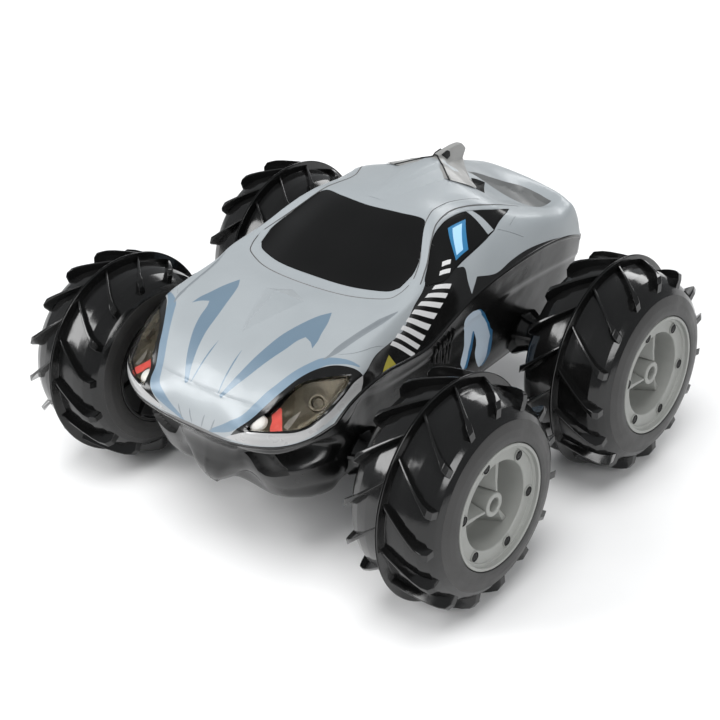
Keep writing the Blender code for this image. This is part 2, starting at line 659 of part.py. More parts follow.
def make_drive(side):
    """The gears, motor and case of one side; side is +1 on the left."""
    word = side_word(side)
    axle, idler, centre, pinion = gear_centres()
    rear_idler, rear_axle = Vector((-idler.x, idler.y)), Vector((-axle.x, axle.y))
    on_shaft, on_pin = SHAFT_RADIUS + GAP, PIN_RADIUS + GAP
    # name, teeth, place, bore, and the gear before it in the train
    train = [("axle_gear_front", AXLE_TEETH, axle, on_shaft, None),
             ("idler_gear_front", IDLER_TEETH, idler, on_pin, "axle_gear_front"),
             ("centre_gear", CENTRE_TEETH, centre, on_pin, "idler_gear_front"),
             ("idler_gear_rear", IDLER_TEETH, rear_idler, on_pin, "centre_gear"),
             ("axle_gear_rear", AXLE_TEETH, rear_axle, on_shaft, "idler_gear_rear"),
             ("motor_pinion", PINION_TEETH, pinion, PINION_BORE, "centre_gear")]
    x = GEAR_X if side > 0 else -GEAR_X - GEAR_WIDTH
    made = {None: (0.0, 1, axle)}
    for name, teeth, place, bore, driver in train:
        turn, driver_teeth, driver_place = made[driver]
        if driver:
            turn = mesh_turn(turn, driver_teeth, teeth, driver_place, place)
        made[name] = (turn, teeth, place)
        gear = new_object(f"{name}_{word}", gear_mesh(f"{name}_{word}", teeth, bore, turn), NYLON, PARTS)
        gear.location = (x, place.x, place.y)
    make_gearbox_case(side, word, (idler, centre, rear_idler), (axle, rear_axle), pinion)
    make_motor(side, word, pinion)


def make_gearbox_case(side, word, pins, axles, pinion):
    """A flat plate beside the gears, with the pins that the idlers turn on."""
    name = f"gearbox_case_{word}"
    bm = bmesh.new()
    loops = [[bm.verts.new((side * face, y * MM, z * MM)) for y, z in CASE_OUTLINE] for face in CASE_FACES]
    bm.faces.new(loops[0])
    bm.faces.new(loops[1])
    count = len(CASE_OUTLINE)
    for k in range(count):
        m = (k + 1) % count
        bm.faces.new((loops[0][k], loops[0][m], loops[1][m], loops[1][k]))
    case = new_object(name, mesh_from_bmesh(name, bm), NYLON, PARTS)
    for k, place in enumerate(pins):
        pin = x_cylinder_mesh(f"pin_{word}_{k}", PIN_RADIUS, side, PIN_ENDS, *place, BORE_SEGMENTS)
        boolean(case, cutter(f"pin_{word}_{k}", pin), "UNION")
    holes = [(axles[0], AXLE_HOLE_RADIUS), (axles[1], AXLE_HOLE_RADIUS), (pinion, MOTOR_HOLE_RADIUS)]
    for k, (place, radius) in enumerate(holes):
        hole = x_cylinder_mesh(f"hole_{word}_{k}", radius, side, CASE_HOLE_ENDS, *place, BORE_SEGMENTS)
        boolean(case, cutter(f"hole_{word}_{k}", hole), "DIFFERENCE")


def make_motor(side, word, place):
    """A small can motor with its gear head; its output shaft carries the pinion."""
    can = x_cylinder_mesh(f"motor_{word}", MOTOR_RADIUS, side, MOTOR_ENDS, *place)
    motor = new_object(f"motor_{word}", can, STEEL, PARTS)
    shaft = x_cylinder_mesh(f"shaft_{word}", MOTOR_SHAFT_RADIUS, side, MOTOR_SHAFT_ENDS, *place,
                            BORE_SEGMENTS)
    boolean(motor, cutter(f"shaft_{word}", shaft), "UNION")


# ---------------------------------------------------------------- inner pieces

def place_origin(obj, point):
    """Move an object's origin to a point without moving its shape."""
    obj.data.transform(Matrix.Translation(-Vector(point)))
    obj.location = point


def make_inner_pieces():
    battery = new_object("battery_pack", box_mesh("battery_pack", BATTERY), WRAP, PARTS)
    bevel(battery, BATTERY_EDGE, 2)
    board = new_object("control_board", box_mesh("control_board", BOARD), BOARD_GREEN, PARTS)
    boolean(board, cutter("board_parts", box_mesh("board_parts", BOARD_PARTS)), "UNION")
    seal = new_object("battery_seal", box_mesh("battery_seal", SEAL), RUBBER, PARTS)
    for name, room in (("seal_window", SEAL_WINDOW), ("latch_room", SEAL_LATCH_ROOM)):
        boolean(seal, cutter(name, box_mesh(name, room)), "DIFFERENCE")


def make_battery_door():
    """The door with its hinge knuckle, and the latch that turns in it."""
    door = new_object("battery_door", box_mesh("battery_door", DOOR), BLACK, PARTS)
    place_origin(door, (0, *HINGE))
    knuckle = x_cylinder_mesh("knuckle", KNUCKLE_RADIUS, 1, (-KNUCKLE_HALF_X, KNUCKLE_HALF_X), *HINGE,
                              BORE_SEGMENTS)
    boolean(door, cutter("knuckle", knuckle), "UNION")
    pocket = x_cylinder_mesh("latch_hole", LATCH_HOLE_RADIUS, 1, (-LATCH_HOLE_HALF, LATCH_HOLE_HALF), 0, 0)
    hole = cutter("latch_hole", pocket)
    hole.matrix_world = Matrix.Translation(LATCH_CENTRE) @ Matrix.Rotation(math.pi / 2, 4, "Y")
    boolean(door, hole, "DIFFERENCE")

    knob = bmesh.new()
    bmesh.ops.create_cone(knob, cap_ends=True, segments=RIM_SEGMENTS, radius1=LATCH_RADIUS,
                          radius2=LATCH_RADIUS, depth=LATCH_HEIGHT)
    latch = new_object("door_latch", mesh_from_bmesh("door_latch", knob, SMOOTH), RIM_GREY, PARTS)
    latch.location = LATCH_CENTRE


def make_switch():
    new_object("switch_housing", box_mesh("switch_housing", SWITCH_HOUSING), BLACK, PARTS)
    knob = new_object("power_switch", box_mesh("power_switch", SWITCH_KNOB), RUBBER, PARTS)
    place_origin(knob, SWITCH_ORIGIN)
    bevel(knob, SWITCH_EDGE)


# ---------------------------------------------------------------- assembly

clear_scene()
PARTS = make_collection("rc_stunt_car")
CUTTERS = make_collection("cutters")

SILVER = material("silver_paint", (0.47, 0.52, 0.54), 0.35, 0.3)
BLACK = material("black_gloss_plastic", (0.012, 0.012, 0.013), 0.18)
BLACK_GLASS = material("dark_window", (0.01, 0.01, 0.011), 0.06)
SMOKED = material("smoked_lens", (0.09, 0.08, 0.06), 0.08)
CHROME = material("lamp_reflector", (0.6, 0.6, 0.58), 0.2, 0.9)
TYRE = material("tyre_black", (0.014, 0.014, 0.014), 0.25)
RIM_GREY = material("rim_grey", (0.36, 0.37, 0.33), 0.45)
STEEL = material("steel", (0.55, 0.55, 0.55), 0.3, 1.0)
BRONZE = material("bronze", (0.5, 0.33, 0.15), 0.4, 1.0)
NYLON = material("white_nylon", (0.75, 0.74, 0.68), 0.5)
WRAP = material("battery_wrap", (0.05, 0.12, 0.3), 0.4)
BOARD_GREEN = material("board_green", (0.03, 0.16, 0.07), 0.5)
RUBBER = material("seal_rubber", (0.03, 0.03, 0.03), 0.8)

make_shell_and_panes()
make_roof_pieces()
make_lower_hull()
make_inner_pieces()
make_battery_door()
make_switch()

TYRE_HALF = tyre_half_mesh()
RIM_MESH = turned_mesh("rim", RIM_SECTION, RIM_SEGMENTS)
HUB_MESH = turned_mesh("inner_hub", HUB_SECTION, RIM_SEGMENTS)
for SIDE in (1, -1):
    make_drive(SIDE)
    for END in ("front", "rear"):
        make_wheel(SIDE, END, TYRE_HALF, RIM_MESH, HUB_MESH)
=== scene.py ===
"""Looks of the radio-controlled stunt car: body skin, hull, paddle wheels, finishes, floor, lights, camera."""

import math

import bmesh
import bpy
import numpy as np
from mathutils import Matrix, Vector
from mathutils.geometry import delaunay_2d_cdt
from mathutils.kdtree import KDTree


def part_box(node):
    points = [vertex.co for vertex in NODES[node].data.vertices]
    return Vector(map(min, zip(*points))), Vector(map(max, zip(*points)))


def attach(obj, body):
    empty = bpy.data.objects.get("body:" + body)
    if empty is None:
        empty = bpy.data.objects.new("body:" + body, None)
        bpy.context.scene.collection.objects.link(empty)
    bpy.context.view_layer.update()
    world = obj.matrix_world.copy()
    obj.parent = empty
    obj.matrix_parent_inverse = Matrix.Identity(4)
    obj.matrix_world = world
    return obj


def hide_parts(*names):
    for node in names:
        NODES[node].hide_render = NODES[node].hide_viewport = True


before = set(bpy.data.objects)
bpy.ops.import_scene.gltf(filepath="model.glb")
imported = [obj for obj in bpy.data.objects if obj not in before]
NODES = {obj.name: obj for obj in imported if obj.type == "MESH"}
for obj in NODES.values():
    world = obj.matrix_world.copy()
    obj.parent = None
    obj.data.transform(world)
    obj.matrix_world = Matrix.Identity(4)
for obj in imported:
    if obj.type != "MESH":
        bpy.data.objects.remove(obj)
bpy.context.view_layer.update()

MM = 0.001
SIDES = (("left", 1), ("right", -1))
ENDS = ("front", "rear")

# Wheels, from the CAD tyres
TYRE_LOW, TYRE_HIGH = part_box("tyre_outer_front_left")
INNER_LOW, INNER_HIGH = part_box("tyre_inner_front_left")
WHEEL_RADIUS = (TYRE_HIGH.z - TYRE_LOW.z) / 2
AXLE_Z = (TYRE_HIGH.z + TYRE_LOW.z) / 2
AXLE_Y = -(TYRE_HIGH.y + TYRE_LOW.y) / 2
RIB_X = (TYRE_LOW.x + INNER_HIGH.x) / 2
LUG_COUNT = 15
LUG_SWEEP = math.radians(21)
LUG_PHASE = math.radians(23.3)

# Control points of the upper skin, in millimetres. A row runs from the centre line to the lower edge.
SHELL_NET = [
    [(0, -129.4, 83.4), (21, -129.8, 84.5), (41.5, -129.2, 88.3), (56, -123.3, 90.6), (66, -114, 94), (70.5, -102, 97)],
    [(0, -127.5, 92), (21, -128.5, 92.8), (40, -130, 96), (56, -122, 97.8), (66, -110, 100), (71, -96, 100.5)],
    [(0, -121.5, 101), (21, -122, 101.8), (38, -119, 102), (51, -114, 105.5), (66.5, -102, 106.5), (71.3, -89, 103.5)],
    [(0, -111, 110.5), (22, -110.5, 110.8), (41, -109, 110), (53, -101, 113), (68, -89, 113), (71.8, -80, 106)],
    [(0, -97, 118), (22, -97, 118.2), (43, -96, 118), (57, -89, 119), (68.5, -78, 116.5), (71.8, -70, 107)],
    [(0, -79, 123), (22, -79, 123), (43, -78, 122.5), (57, -73, 123), (66.5, -66, 120.3), (70.5, -59, 106)],
    [(0, -57, 126), (22, -56, 126), (44.5, -54, 125.5), (57.5, -51, 125.2), (65, -47, 122.2), (69, -44, 103)],
    [(0, -35, 128), (25, -33.5, 127.8), (46, -28, 127.3), (59.5, -31, 128.2), (64.5, -28.5, 124.5), (68.5, -25, 101.5)],
    [(0, -12, 139.3), (24, -10.5, 139), (45.5, -4, 136.5), (56, -7.3, 134.6), (63, -5, 125.5), (68.5, -3, 107.5)],
    [(0, 13.5, 149.5), (20, 14.5, 149.3), (36.5, 18, 147.4), (46.5, 13, 143.7), (59, 15, 129), (68.5, 14, 112)],
    [(0, 36, 151.5), (20, 36, 150.3), (35, 40, 146.8), (45.5, 40, 142.8), (59.5, 35, 131.5), (68.5, 35, 114)],
    [(0, 60, 151), (20, 60, 149), (39, 61, 144.6), (50.5, 62, 138.5), (60, 59, 131), (68.5, 59, 114.5)],
    [(0, 82, 147), (20, 82, 144.5), (36, 84.5, 132.5), (50, 86, 129.5), (62, 85, 126), (68, 85, 112.5)],
    [(0, 106, 138.5), (20, 108, 130.5), (41, 109.5, 119), (54, 108, 121), (63, 105, 119), (67, 105, 108)],
    [(0, 130, 125), (22, 130, 123.5), (42, 128, 121), (54, 124, 119.5), (61, 121, 116.5), (64, 121, 101)],
    [(0, 135, 104), (22, 134.5, 103), (42, 133, 101.5), (54, 130, 100), (60.5, 127, 99), (62.5, 124, 98)],
]

# Control points of the hull behind the bow: each station runs down from under the shell's edge to the keel.
STERN_NET = [
    [(68, -86, 95), (64, -82, 76), (60, -78, 59), (46, -75, 43.2), (0, -71, 42)],
    [(67.5, -80, 99), (63.5, -76, 79), (60, -72, 59.5), (46, -69, 43), (0, -64, 42)],
    [(67, -73, 100), (63, -70, 80), (60, -66, 60), (46, -63, 43), (0, -57, 42)],
    [(67, -65, 98), (63, -63, 80), (60, -60, 60), (46, -56, 43), (0, -51, 42)],
    [(66.5, -57, 96), (63, -55, 79), (60, -53, 60), (46, -49, 43), (0, -45, 42)],
    [(66, -43, 94), (63, -41, 79), (60, -39, 60), (46, -36, 43), (0, -34, 42)],
    [(65.5, -24, 93), (62.5, -22, 78), (60, -20, 60), (46, -18, 43), (0, -16, 42)],
    [(65.5, -3, 96), (62.5, -2, 79), (60, 0, 60), (46, 0, 43), (0, 0, 42)],
    [(65.5, 14, 98), (62.5, 16, 80), (60, 18, 60), (46, 18, 43), (0, 18, 42)],
    [(65.5, 35, 99), (62.5, 37, 80), (60, 38, 60), (46, 38, 43), (0, 38, 42)],
    [(65.5, 59, 99), (62.5, 60, 80), (60, 61, 60), (46, 61, 43), (0, 61, 42)],
    [(65.5, 85, 97), (62.5, 85, 79), (60, 85, 60), (46, 83, 43.5), (0, 82, 42.5)],
    [(65, 105, 94), (62, 105, 77), (58, 105, 61), (44, 102, 48), (0, 100, 46)],
    [(62.5, 119, 90), (60, 119, 76), (55, 118, 62), (42, 113, 53), (0, 109, 50)],
    [(61, 124, 88), (58, 124, 75), (53, 122, 63), (40, 118, 55), (0, 114, 53)],
    [(59, 127, 88), (56, 126, 76), (50, 124, 64), (37, 120, 57), (0, 117, 55)],
    [(53, 129.5, 89), (50, 128.5, 77), (45, 126, 66), (33, 122, 59.5), (0, 119, 57)],
    [(41, 132, 91), (38, 131, 79), (33, 128.5, 69), (24, 125.5, 62), (0, 122, 60)],
    [(21, 134, 92), (19, 132.5, 81), (16, 130.5, 72), (11, 128, 66), (0, 125, 63)],
    [(0, 134.8, 93), (0, 133.5, 82), (0, 132, 74), (0, 130, 68), (0, 128, 65)],
]
SEAM = 1.5 * MM


# ---------------------------------------------------------------- materials

def material(name, colour, roughness, metallic=0.0, coat=0.0):
    """A Principled material and its parts, for the finishes below to add to."""
    mat = bpy.data.materials.new(name)
    mat.use_nodes = True
    shader = mat.node_tree.nodes["Principled BSDF"]
    shader.inputs["Base Color"].default_value = (*colour, 1.0)
    shader.inputs["Roughness"].default_value = roughness
    shader.inputs["Metallic"].default_value = metallic
    shader.inputs["Coat Weight"].default_value = coat
    shader.inputs["Coat Roughness"].default_value = 0.06
    return mat


def add_node(mat, kind, **values):
    node = mat.node_tree.nodes.new(kind)
    for key, value in values.items():
        if key in node.inputs:
            node.inputs[key].default_value = value
        else:
            setattr(node, key, value)
    return node


def link(mat, source, target):
    mat.node_tree.links.new(source, target)


def noise(mat, scale, detail=3.0, roughness=0.5):
    """A noise texture in the part's own metres."""
    texture = add_node(mat, "ShaderNodeTexNoise", Scale=scale, Detail=detail, Roughness=roughness)
    place = add_node(mat, "ShaderNodeTexCoord")
    link(mat, place.outputs["Object"], texture.inputs["Vector"])
    return texture.outputs["Fac"]


def remap(mat, value, low, high, start=0.3, stop=0.7):
    node = add_node(mat, "ShaderNodeMapRange")
    link(mat, value, node.inputs["Value"])
    node.inputs["From Min"].default_value = start
    node.inputs["From Max"].default_value = stop
    node.inputs["To Min"].default_value = low
    node.inputs["To Max"].default_value = high
    return node.outputs["Result"]


def vary_colour(mat, scale, dark, light, detail=4.0):
    """Colour that drifts between two tones over the surface."""
    ramp = add_node(mat, "ShaderNodeMix", data_type="RGBA")
    ramp.inputs["A"].default_value = (*dark, 1.0)
    ramp.inputs["B"].default_value = (*light, 1.0)
    ramp.inputs[6].default_value = (*dark, 1.0)
    ramp.inputs[7].default_value = (*light, 1.0)
    link(mat, remap(mat, noise(mat, scale, detail), 0.0, 1.0), ramp.inputs[0])
    link(mat, ramp.outputs[2], mat.node_tree.nodes["Principled BSDF"].inputs["Base Color"])


def vary_roughness(mat, scale, low, high, detail=5.0):
    value = remap(mat, noise(mat, scale, detail), low, high)
    link(mat, value, mat.node_tree.nodes["Principled BSDF"].inputs["Roughness"])


def add_bump(mat, layers):
    """Bump from noise layers of (scale per metre, height in metres)."""
    shader = mat.node_tree.nodes["Principled BSDF"]
    last = None
    for scale, height in layers:
        bump = add_node(mat, "ShaderNodeBump", Strength=1.0, Distance=height)
        link(mat, noise(mat, scale, 2.0), bump.inputs["Height"])
        if last:
            link(mat, last, bump.inputs["Normal"])
        last = bump.outputs["Normal"]
    link(mat, last, shader.inputs["Normal"])


def make_finish(name, tones, rough, metallic=0.0, coat=0.0, bumps=((900, 0.00002),), tone_scale=18.0,
                rough_scale=120.0):
    mat = material(name, tones[0], rough[0], metallic, coat)
    vary_colour(mat, tone_scale, *tones)
    vary_roughness(mat, rough_scale, *rough)
    add_bump(mat, bumps)
    return mat


def grey(value, warm=0.0):
    return (value * (1 + warm), value, value * (1 - warm))


SILVER = make_finish("silver_paint", ((0.285, 0.31, 0.325), (0.32, 0.345, 0.36)), (0.38, 0.46), 0.1, 0.12,
                     ((2600, 0.000012), (60, 0.0001)))
BLACK = make_finish("black_gloss", (grey(0.0035), grey(0.006)), (0.13, 0.22), bumps=((55, 0.00025), (1500, 0.00001)))
HULL_BLACK = make_finish("hull_black", (grey(0.004), grey(0.007)), (0.16, 0.28), bumps=((45, 0.0003), (1400, 0.00001)))
# Painted shade: near-black for holes, gaps, seams and recesses, standing in for the shade inside them.
GAP_SHADE_BLACK = make_finish("gap_painted_shade", (grey(0.002), grey(0.003)), (0.5, 0.7))
WINDOW_GLOSS = make_finish("window_black", (grey(0.003), grey(0.0045)), (0.10, 0.16), bumps=((40, 0.00015),))
WINDOW_GLOSS.node_tree.nodes["Principled BSDF"].inputs["Specular IOR Level"].default_value = 0.3
STRIPE = make_finish("stripe_blue", ((0.115, 0.17, 0.225), (0.135, 0.195, 0.25)), (0.32, 0.4), 0.1, 0.35,
                     ((2600, 0.000012),))
PALE_STRIPE = make_finish("stripe_pale", ((0.135, 0.195, 0.255), (0.155, 0.22, 0.28)), (0.36, 0.44), 0.1, 0.12,
                          ((2600, 0.000012),))
TRIM = make_finish("trim_silver", (grey(0.36), grey(0.41)), (0.26, 0.34), 0.2, 0.2, ((1500, 0.00001),))
PRINT_WHITE = make_finish("print_white", (grey(0.60), grey(0.68)), (0.3, 0.4))
PRINT_SKY = make_finish("print_sky", ((0.30, 0.55, 0.78), (0.40, 0.64, 0.85)), (0.3, 0.4))
PRINT_BLUE = make_finish("print_blue", ((0.02, 0.13, 0.28), (0.03, 0.18, 0.36)), (0.3, 0.4))
PRINT_YELLOW = make_finish("print_yellow", ((0.30, 0.26, 0.03), (0.36, 0.31, 0.05)), (0.35, 0.45))
TYRE = make_finish("tyre_gloss", (grey(0.0035), grey(0.006)), (0.1, 0.18), bumps=((70, 0.0003), (1200, 0.00001)))
SIDEWALL = make_finish("tyre_sidewall", (grey(0.016, 0.03), grey(0.024, 0.03)), (0.34, 0.48),
                       bumps=((1800, 0.00004), (300, 0.00005)), tone_scale=30)
RIM = make_finish("rim_grey", ((0.25, 0.255, 0.24), (0.29, 0.295, 0.28)), (0.38, 0.5), 0.15,
                  bumps=((2200, 0.00002), (90, 0.0001)))
SCREW = make_finish("screw_black", (grey(0.012), grey(0.03)), (0.3, 0.45), 0.7)
STEEL = make_finish("steel", (grey(0.50), grey(0.60)), (0.22, 0.38), 1.0, bumps=((3000, 0.00001),))
BRONZE = make_finish("bronze", ((0.42, 0.27, 0.12), (0.52, 0.34, 0.16)), (0.35, 0.5), 1.0)
NYLON = make_finish("nylon", ((0.66, 0.65, 0.58), (0.74, 0.73, 0.67)), (0.42, 0.55))
WRAP = make_finish("battery_wrap", ((0.03, 0.09, 0.24), (0.05, 0.13, 0.32)), (0.25, 0.4), bumps=((160, 0.0004),))
BOARD = make_finish("board_green", ((0.02, 0.12, 0.05), (0.03, 0.17, 0.07)), (0.35, 0.5), tone_scale=240)
RUBBER = make_finish("rubber", (grey(0.018), grey(0.03)), (0.65, 0.8), bumps=((1400, 0.00006),))
CHROME = make_finish("reflector", (grey(0.55, 0.04), grey(0.68, 0.04)), (0.12, 0.22), 0.9, bumps=((300, 0.0001),))
LAMP_WHITE = make_finish("lamp_white", (grey(0.75), grey(0.84)), (0.2, 0.3))
ACCENT_RED = make_finish("accent_red", ((0.80, 0.10, 0.09), (0.92, 0.15, 0.13)), (0.2, 0.3))


def smoked_lens():
    """Clear plastic tinted brown-grey."""
    mat = material("smoked_lens", (0.76, 0.74, 0.70), 0.02)
    shader = mat.node_tree.nodes["Principled BSDF"]
    shader.inputs["Transmission Weight"].default_value = 1.0
    shader.inputs["IOR"].default_value = 1.12
    shader.inputs["Specular IOR Level"].default_value = 0.9
    vary_colour(mat, 25, (0.74, 0.72, 0.68), (0.80, 0.78, 0.74))
    vary_roughness(mat, 90, 0.01, 0.03)
    add_bump(mat, ((60, 0.00002),))
    return mat


LENS_CLEAR = smoked_lens()


# ---------------------------------------------------------------- curves and skins

def spline(points, steps=8, closed=False):
    """Points of a smooth curve through the given points."""
    pts = np.array(points, float)
    count = len(pts)
    spans = count if closed else count - 1
    out = []
    for i in range(spans):
        if closed:
            p0, p1, p2, p3 = (pts[(i + k) % count] for k in (-1, 0, 1, 2))
        else:
            p1, p2 = pts[i], pts[i + 1]
            p0 = pts[i - 1] if i else 2 * p1 - p2
            p3 = pts[i + 2] if i + 2 < count else 2 * p2 - p1
        for step in range(steps):
            t = step / steps
            out.append(0.5 * (2 * p1 + (p2 - p0) * t + (2 * p0 - 5 * p1 + 4 * p2 - p3) * t * t
                              + (3 * p1 - p0 - 3 * p2 + p3) * t ** 3))
    if not closed:
        out.append(pts[-1])
    return np.array(out)


def outline(*pieces, steps=8):
    """A closed outline of smooth pieces; it has a corner where two pieces meet."""
    loops = [spline(piece, steps) for piece in pieces]
    joined = np.vstack([loop[:-1] if np.allclose(loop[-1], nxt[0]) else loop
                        for loop, nxt in zip(loops, loops[1:] + loops[:1])])
    return joined


def flipped(points):
    return np.array(points) * (1, -1)


def both_sides(net):
    """Whole rows, from the right edge to the left edge, in metres."""
    return np.array([[(-x, y, z) for x, y, z in row[:0:-1]] + list(row) for row in net], float) * MM


def picked(grid, index):
    """Rows of the grid at these indices, carried on in a straight line past both ends."""
    inside = grid[np.clip(index, 0, len(grid) - 1)]
    shape = (-1,) + (1,) * (grid.ndim - 1)
    before, after = (index < 0).reshape(shape), (index >= len(grid)).reshape(shape)
    inside = np.where(before, 2 * grid[0] - grid[1], inside)
    return np.where(after, 2 * grid[-1] - grid[-2], inside)


def blend4(p0, p1, p2, p3, t):
    return 0.5 * (2 * p1 + (p2 - p0) * t + (2 * p0 - 5 * p1 + 4 * p2 - p3) * t * t
                  + (3 * p1 - p0 - 3 * p2 + p3) * t ** 3)


def net_points(grid, u, v):
    """Points on the smooth surface through the net; u counts rows and v counts columns."""
    i = np.clip(np.floor(u).astype(int), 0, grid.shape[0] - 2)
    t = (u - i)[:, None, None]
    rows = blend4(*(picked(grid, i + k) for k in (-1, 0, 1, 2)), t)
    j = np.clip(np.floor(v).astype(int), 0, grid.shape[1] - 2)
    s = (v - j)[:, None]
    which = np.arange(len(u))

    def column(k):
        inside = rows[which, np.clip(k, 0, grid.shape[1] - 1)]
        inside = np.where((k < 0)[:, None], 2 * rows[:, 0] - rows[:, 1], inside)
        return np.where((k >= grid.shape[1])[:, None], 2 * rows[:, -1] - rows[:, -2], inside)

    return blend4(*(column(j + k) for k in (-1, 0, 1, 2)), s)


class Skin:
    """A smooth surface over (u, v), with relief added along its normal."""

    def __init__(self, grid, centre, relief, outward):
        self.grid, self.centre, self.relief, self.outward = grid, centre, relief, outward
        self.hand = outward    # +1 where (u, v) turns the same way as the surface seen from outside

    def base(self, u, v):
        return net_points(self.grid, np.asarray(u, float), np.asarray(v, float) + self.centre)

    def normal(self, u, v, step=0.02):
        u, v = np.asarray(u, float), np.asarray(v, float)
        du = self.base(u + step, v) - self.base(u - step, v)
        dv = self.base(u, v + step) - self.base(u, v - step)
        normal = np.cross(dv, du) * self.outward
        return normal / np.maximum(np.linalg.norm(normal, axis=1, keepdims=True), 1e-12)

    def points(self, uv, height=0.0):
        u, v = uv[:, 0], uv[:, 1]
        return self.base(u, v) + self.normal(u, v) * (self.relief(self, u, v) + height)[:, None]

    def shifted(self, uv, distance):
        """A line on the surface moved sideways, to its left as seen from outside, by a distance in metres."""
        uv = np.asarray(uv, float)
        step = 0.02
        u, v = uv[:, 0], uv[:, 1]
        du = (self.base(u + step, v) - self.base(u - step, v)) / (2 * step)
        dv = (self.base(u, v + step) - self.base(u, v - step)) / (2 * step)
        run = np.gradient(self.base(u, v), axis=0)
        side = np.cross(self.normal(u, v), run)
        side /= np.maximum(np.linalg.norm(side, axis=1, keepdims=True), 1e-12)
        basis = np.stack([du, dv], axis=2)
        moved = np.linalg.pinv(basis) @ (side * distance)[:, :, None]
        return uv + moved[:, :, 0]


def inside(points, loop):
    """Which (u, v) points lie inside a closed outline."""
    x, y = points[:, 0], points[:, 1]
    result = np.zeros(len(points), bool)
    for (x1, y1), (x2, y2) in zip(loop, np.roll(loop, -1, axis=0)):
        crosses = (y1 > y) != (y2 > y)
        with np.errstate(divide="ignore", invalid="ignore"):
            at = (x2 - x1) * (y - y1) / (y2 - y1) + x1
        result ^= crosses & (x < at)
    return result


def resampled(line, spacing=0.06):
    """The line with points at about this spacing, in (u, v); its corners stay."""
    out = [line[0]]
    for a, b in zip(line, line[1:]):
        steps = max(1, int(math.ceil(np.linalg.norm(np.subtract(b, a)) / spacing)))
        out.extend(np.add(a, np.subtract(b, a) * (k / steps)) for k in range(1, steps + 1))
    return np.array(out)


def groove(skin, line, half=0.4 * MM, depth=0.55 * MM):
    """A groove along a line: the lines to draw, each with its height, and the outline to paint."""
    line = resampled(line)
    near, far = skin.shifted(line, half), skin.shifted(line, -half)
    return [(line, -depth), (near, 0.0), (far, 0.0)], np.vstack([near, far[::-1]])


def rolled(skin, loop, inward, sink=0.25 * MM, width=0.6 * MM):
    """The edge of a pane or opening, rolled down a little: the lines to draw, each with its height."""
    loop = resampled(np.vstack([loop, loop[:1]]))
    return [(loop, -sink), (skin.shifted(loop, width * inward), 0.0)]


def area_sign(loop):
    x, y = loop[:, 0], loop[:, 1]
    return math.copysign(1, float(np.sum(x * np.roll(y, -1) - np.roll(x, -1) * y)))


def offset_loop(skin, loop, distance):
    """A closed outline grown by a distance in metres; a negative distance shrinks it."""
    closed = resampled(np.vstack([loop, loop[:1]]))
    return skin.shifted(closed, distance * area_sign(loop) * skin.hand)[:-1]


def skin_mesh(name, skin, window, cells, lines=(), keep=None, finishes=(), default=0, height=0.0):
    """A triangulated piece of a skin.

    window is (u0, u1, v0, v1), cells how many the grid has each way, lines is a list of (points, height) that
    become edges, keep says which (u, v) centres stay, and finishes is a list of (outline, slot), painted in turn.
    """
    u0, u1, v0, v1 = window
    us, vs = np.linspace(u0, u1, cells[0] + 1), np.linspace(v0, v1, cells[1] + 1)
    cell = np.array([us[1] - us[0], vs[1] - vs[0]])
    grid = np.array([(a, b) for a in us for b in vs])
    marks, sinks, edges = [], [], []
    for line, sink in lines:
        first = len(marks)
        marks.extend(np.clip(line, (u0, v0), (u1, v1)))
        sinks.extend([sink] * len(line))
        edges.extend((first + k, first + k + 1) for k in range(len(line) - 1))
    if marks:
        tree = KDTree(len(marks))
        for k, mark in enumerate(marks):
            tree.insert((mark[0] / cell[0], mark[1] / cell[1], 0), k)
        tree.balance()
        apart = np.array([tree.find((p[0] / cell[0], p[1] / cell[1], 0))[2] > 0.42 for p in grid])
        corner = np.isin(grid[:, 0], (us[0], us[-1])) & np.isin(grid[:, 1], (vs[0], vs[-1]))
        grid = grid[apart | corner]
    given = np.vstack([np.array(marks), grid]) if marks else grid
    verts, _, faces, origin, _, _ = delaunay_2d_cdt([Vector(p) for p in given], edges, [], 0, 1e-4)
    uv = np.array([(p.x, p.y) for p in verts])
    sink = np.zeros(len(uv))
    for k, sources in enumerate(origin):
        depths = [sinks[i] for i in sources if i < len(sinks)]
        if depths:
            sink[k] = min(depths)
    faces = np.array([face for face in faces if len(face) == 3])
    centres = uv[faces].mean(axis=1)
    if keep is not None:
        chosen = keep(centres)
        faces, centres = faces[chosen], centres[chosen]
    used = np.unique(faces)
    order = -np.ones(len(uv), int)
    order[used] = np.arange(len(used))
    faces, uv, sink = order[faces], uv[used], sink[used]
    slots = np.full(len(faces), default, np.int32)
    for loop, slot in finishes:
        slots[inside(centres, loop)] = slot
    co = skin.points(uv, sink + height)
    a, b, c = co[faces[:, 0]], co[faces[:, 1]], co[faces[:, 2]]
    facing = np.cross(b - a, c - a)
    back = (facing * skin.normal(centres[:, 0], centres[:, 1])).sum(1) < 0
    faces[back] = faces[back][:, ::-1]
    mesh = bpy.data.meshes.new(name)
    mesh.from_pydata(co.tolist(), [], faces.tolist())
    mesh.polygons.foreach_set("material_index", slots)
    mesh.update()
    return mesh


def clean(mesh, distance=0.00002):
    """Welds coincident points and drops faces without area."""
    bm = bmesh.new()
    bm.from_mesh(mesh)
    bmesh.ops.remove_doubles(bm, verts=bm.verts, dist=distance)
    bmesh.ops.dissolve_degenerate(bm, edges=bm.edges, dist=distance / 2)
    bm.to_mesh(mesh)
    bm.free()


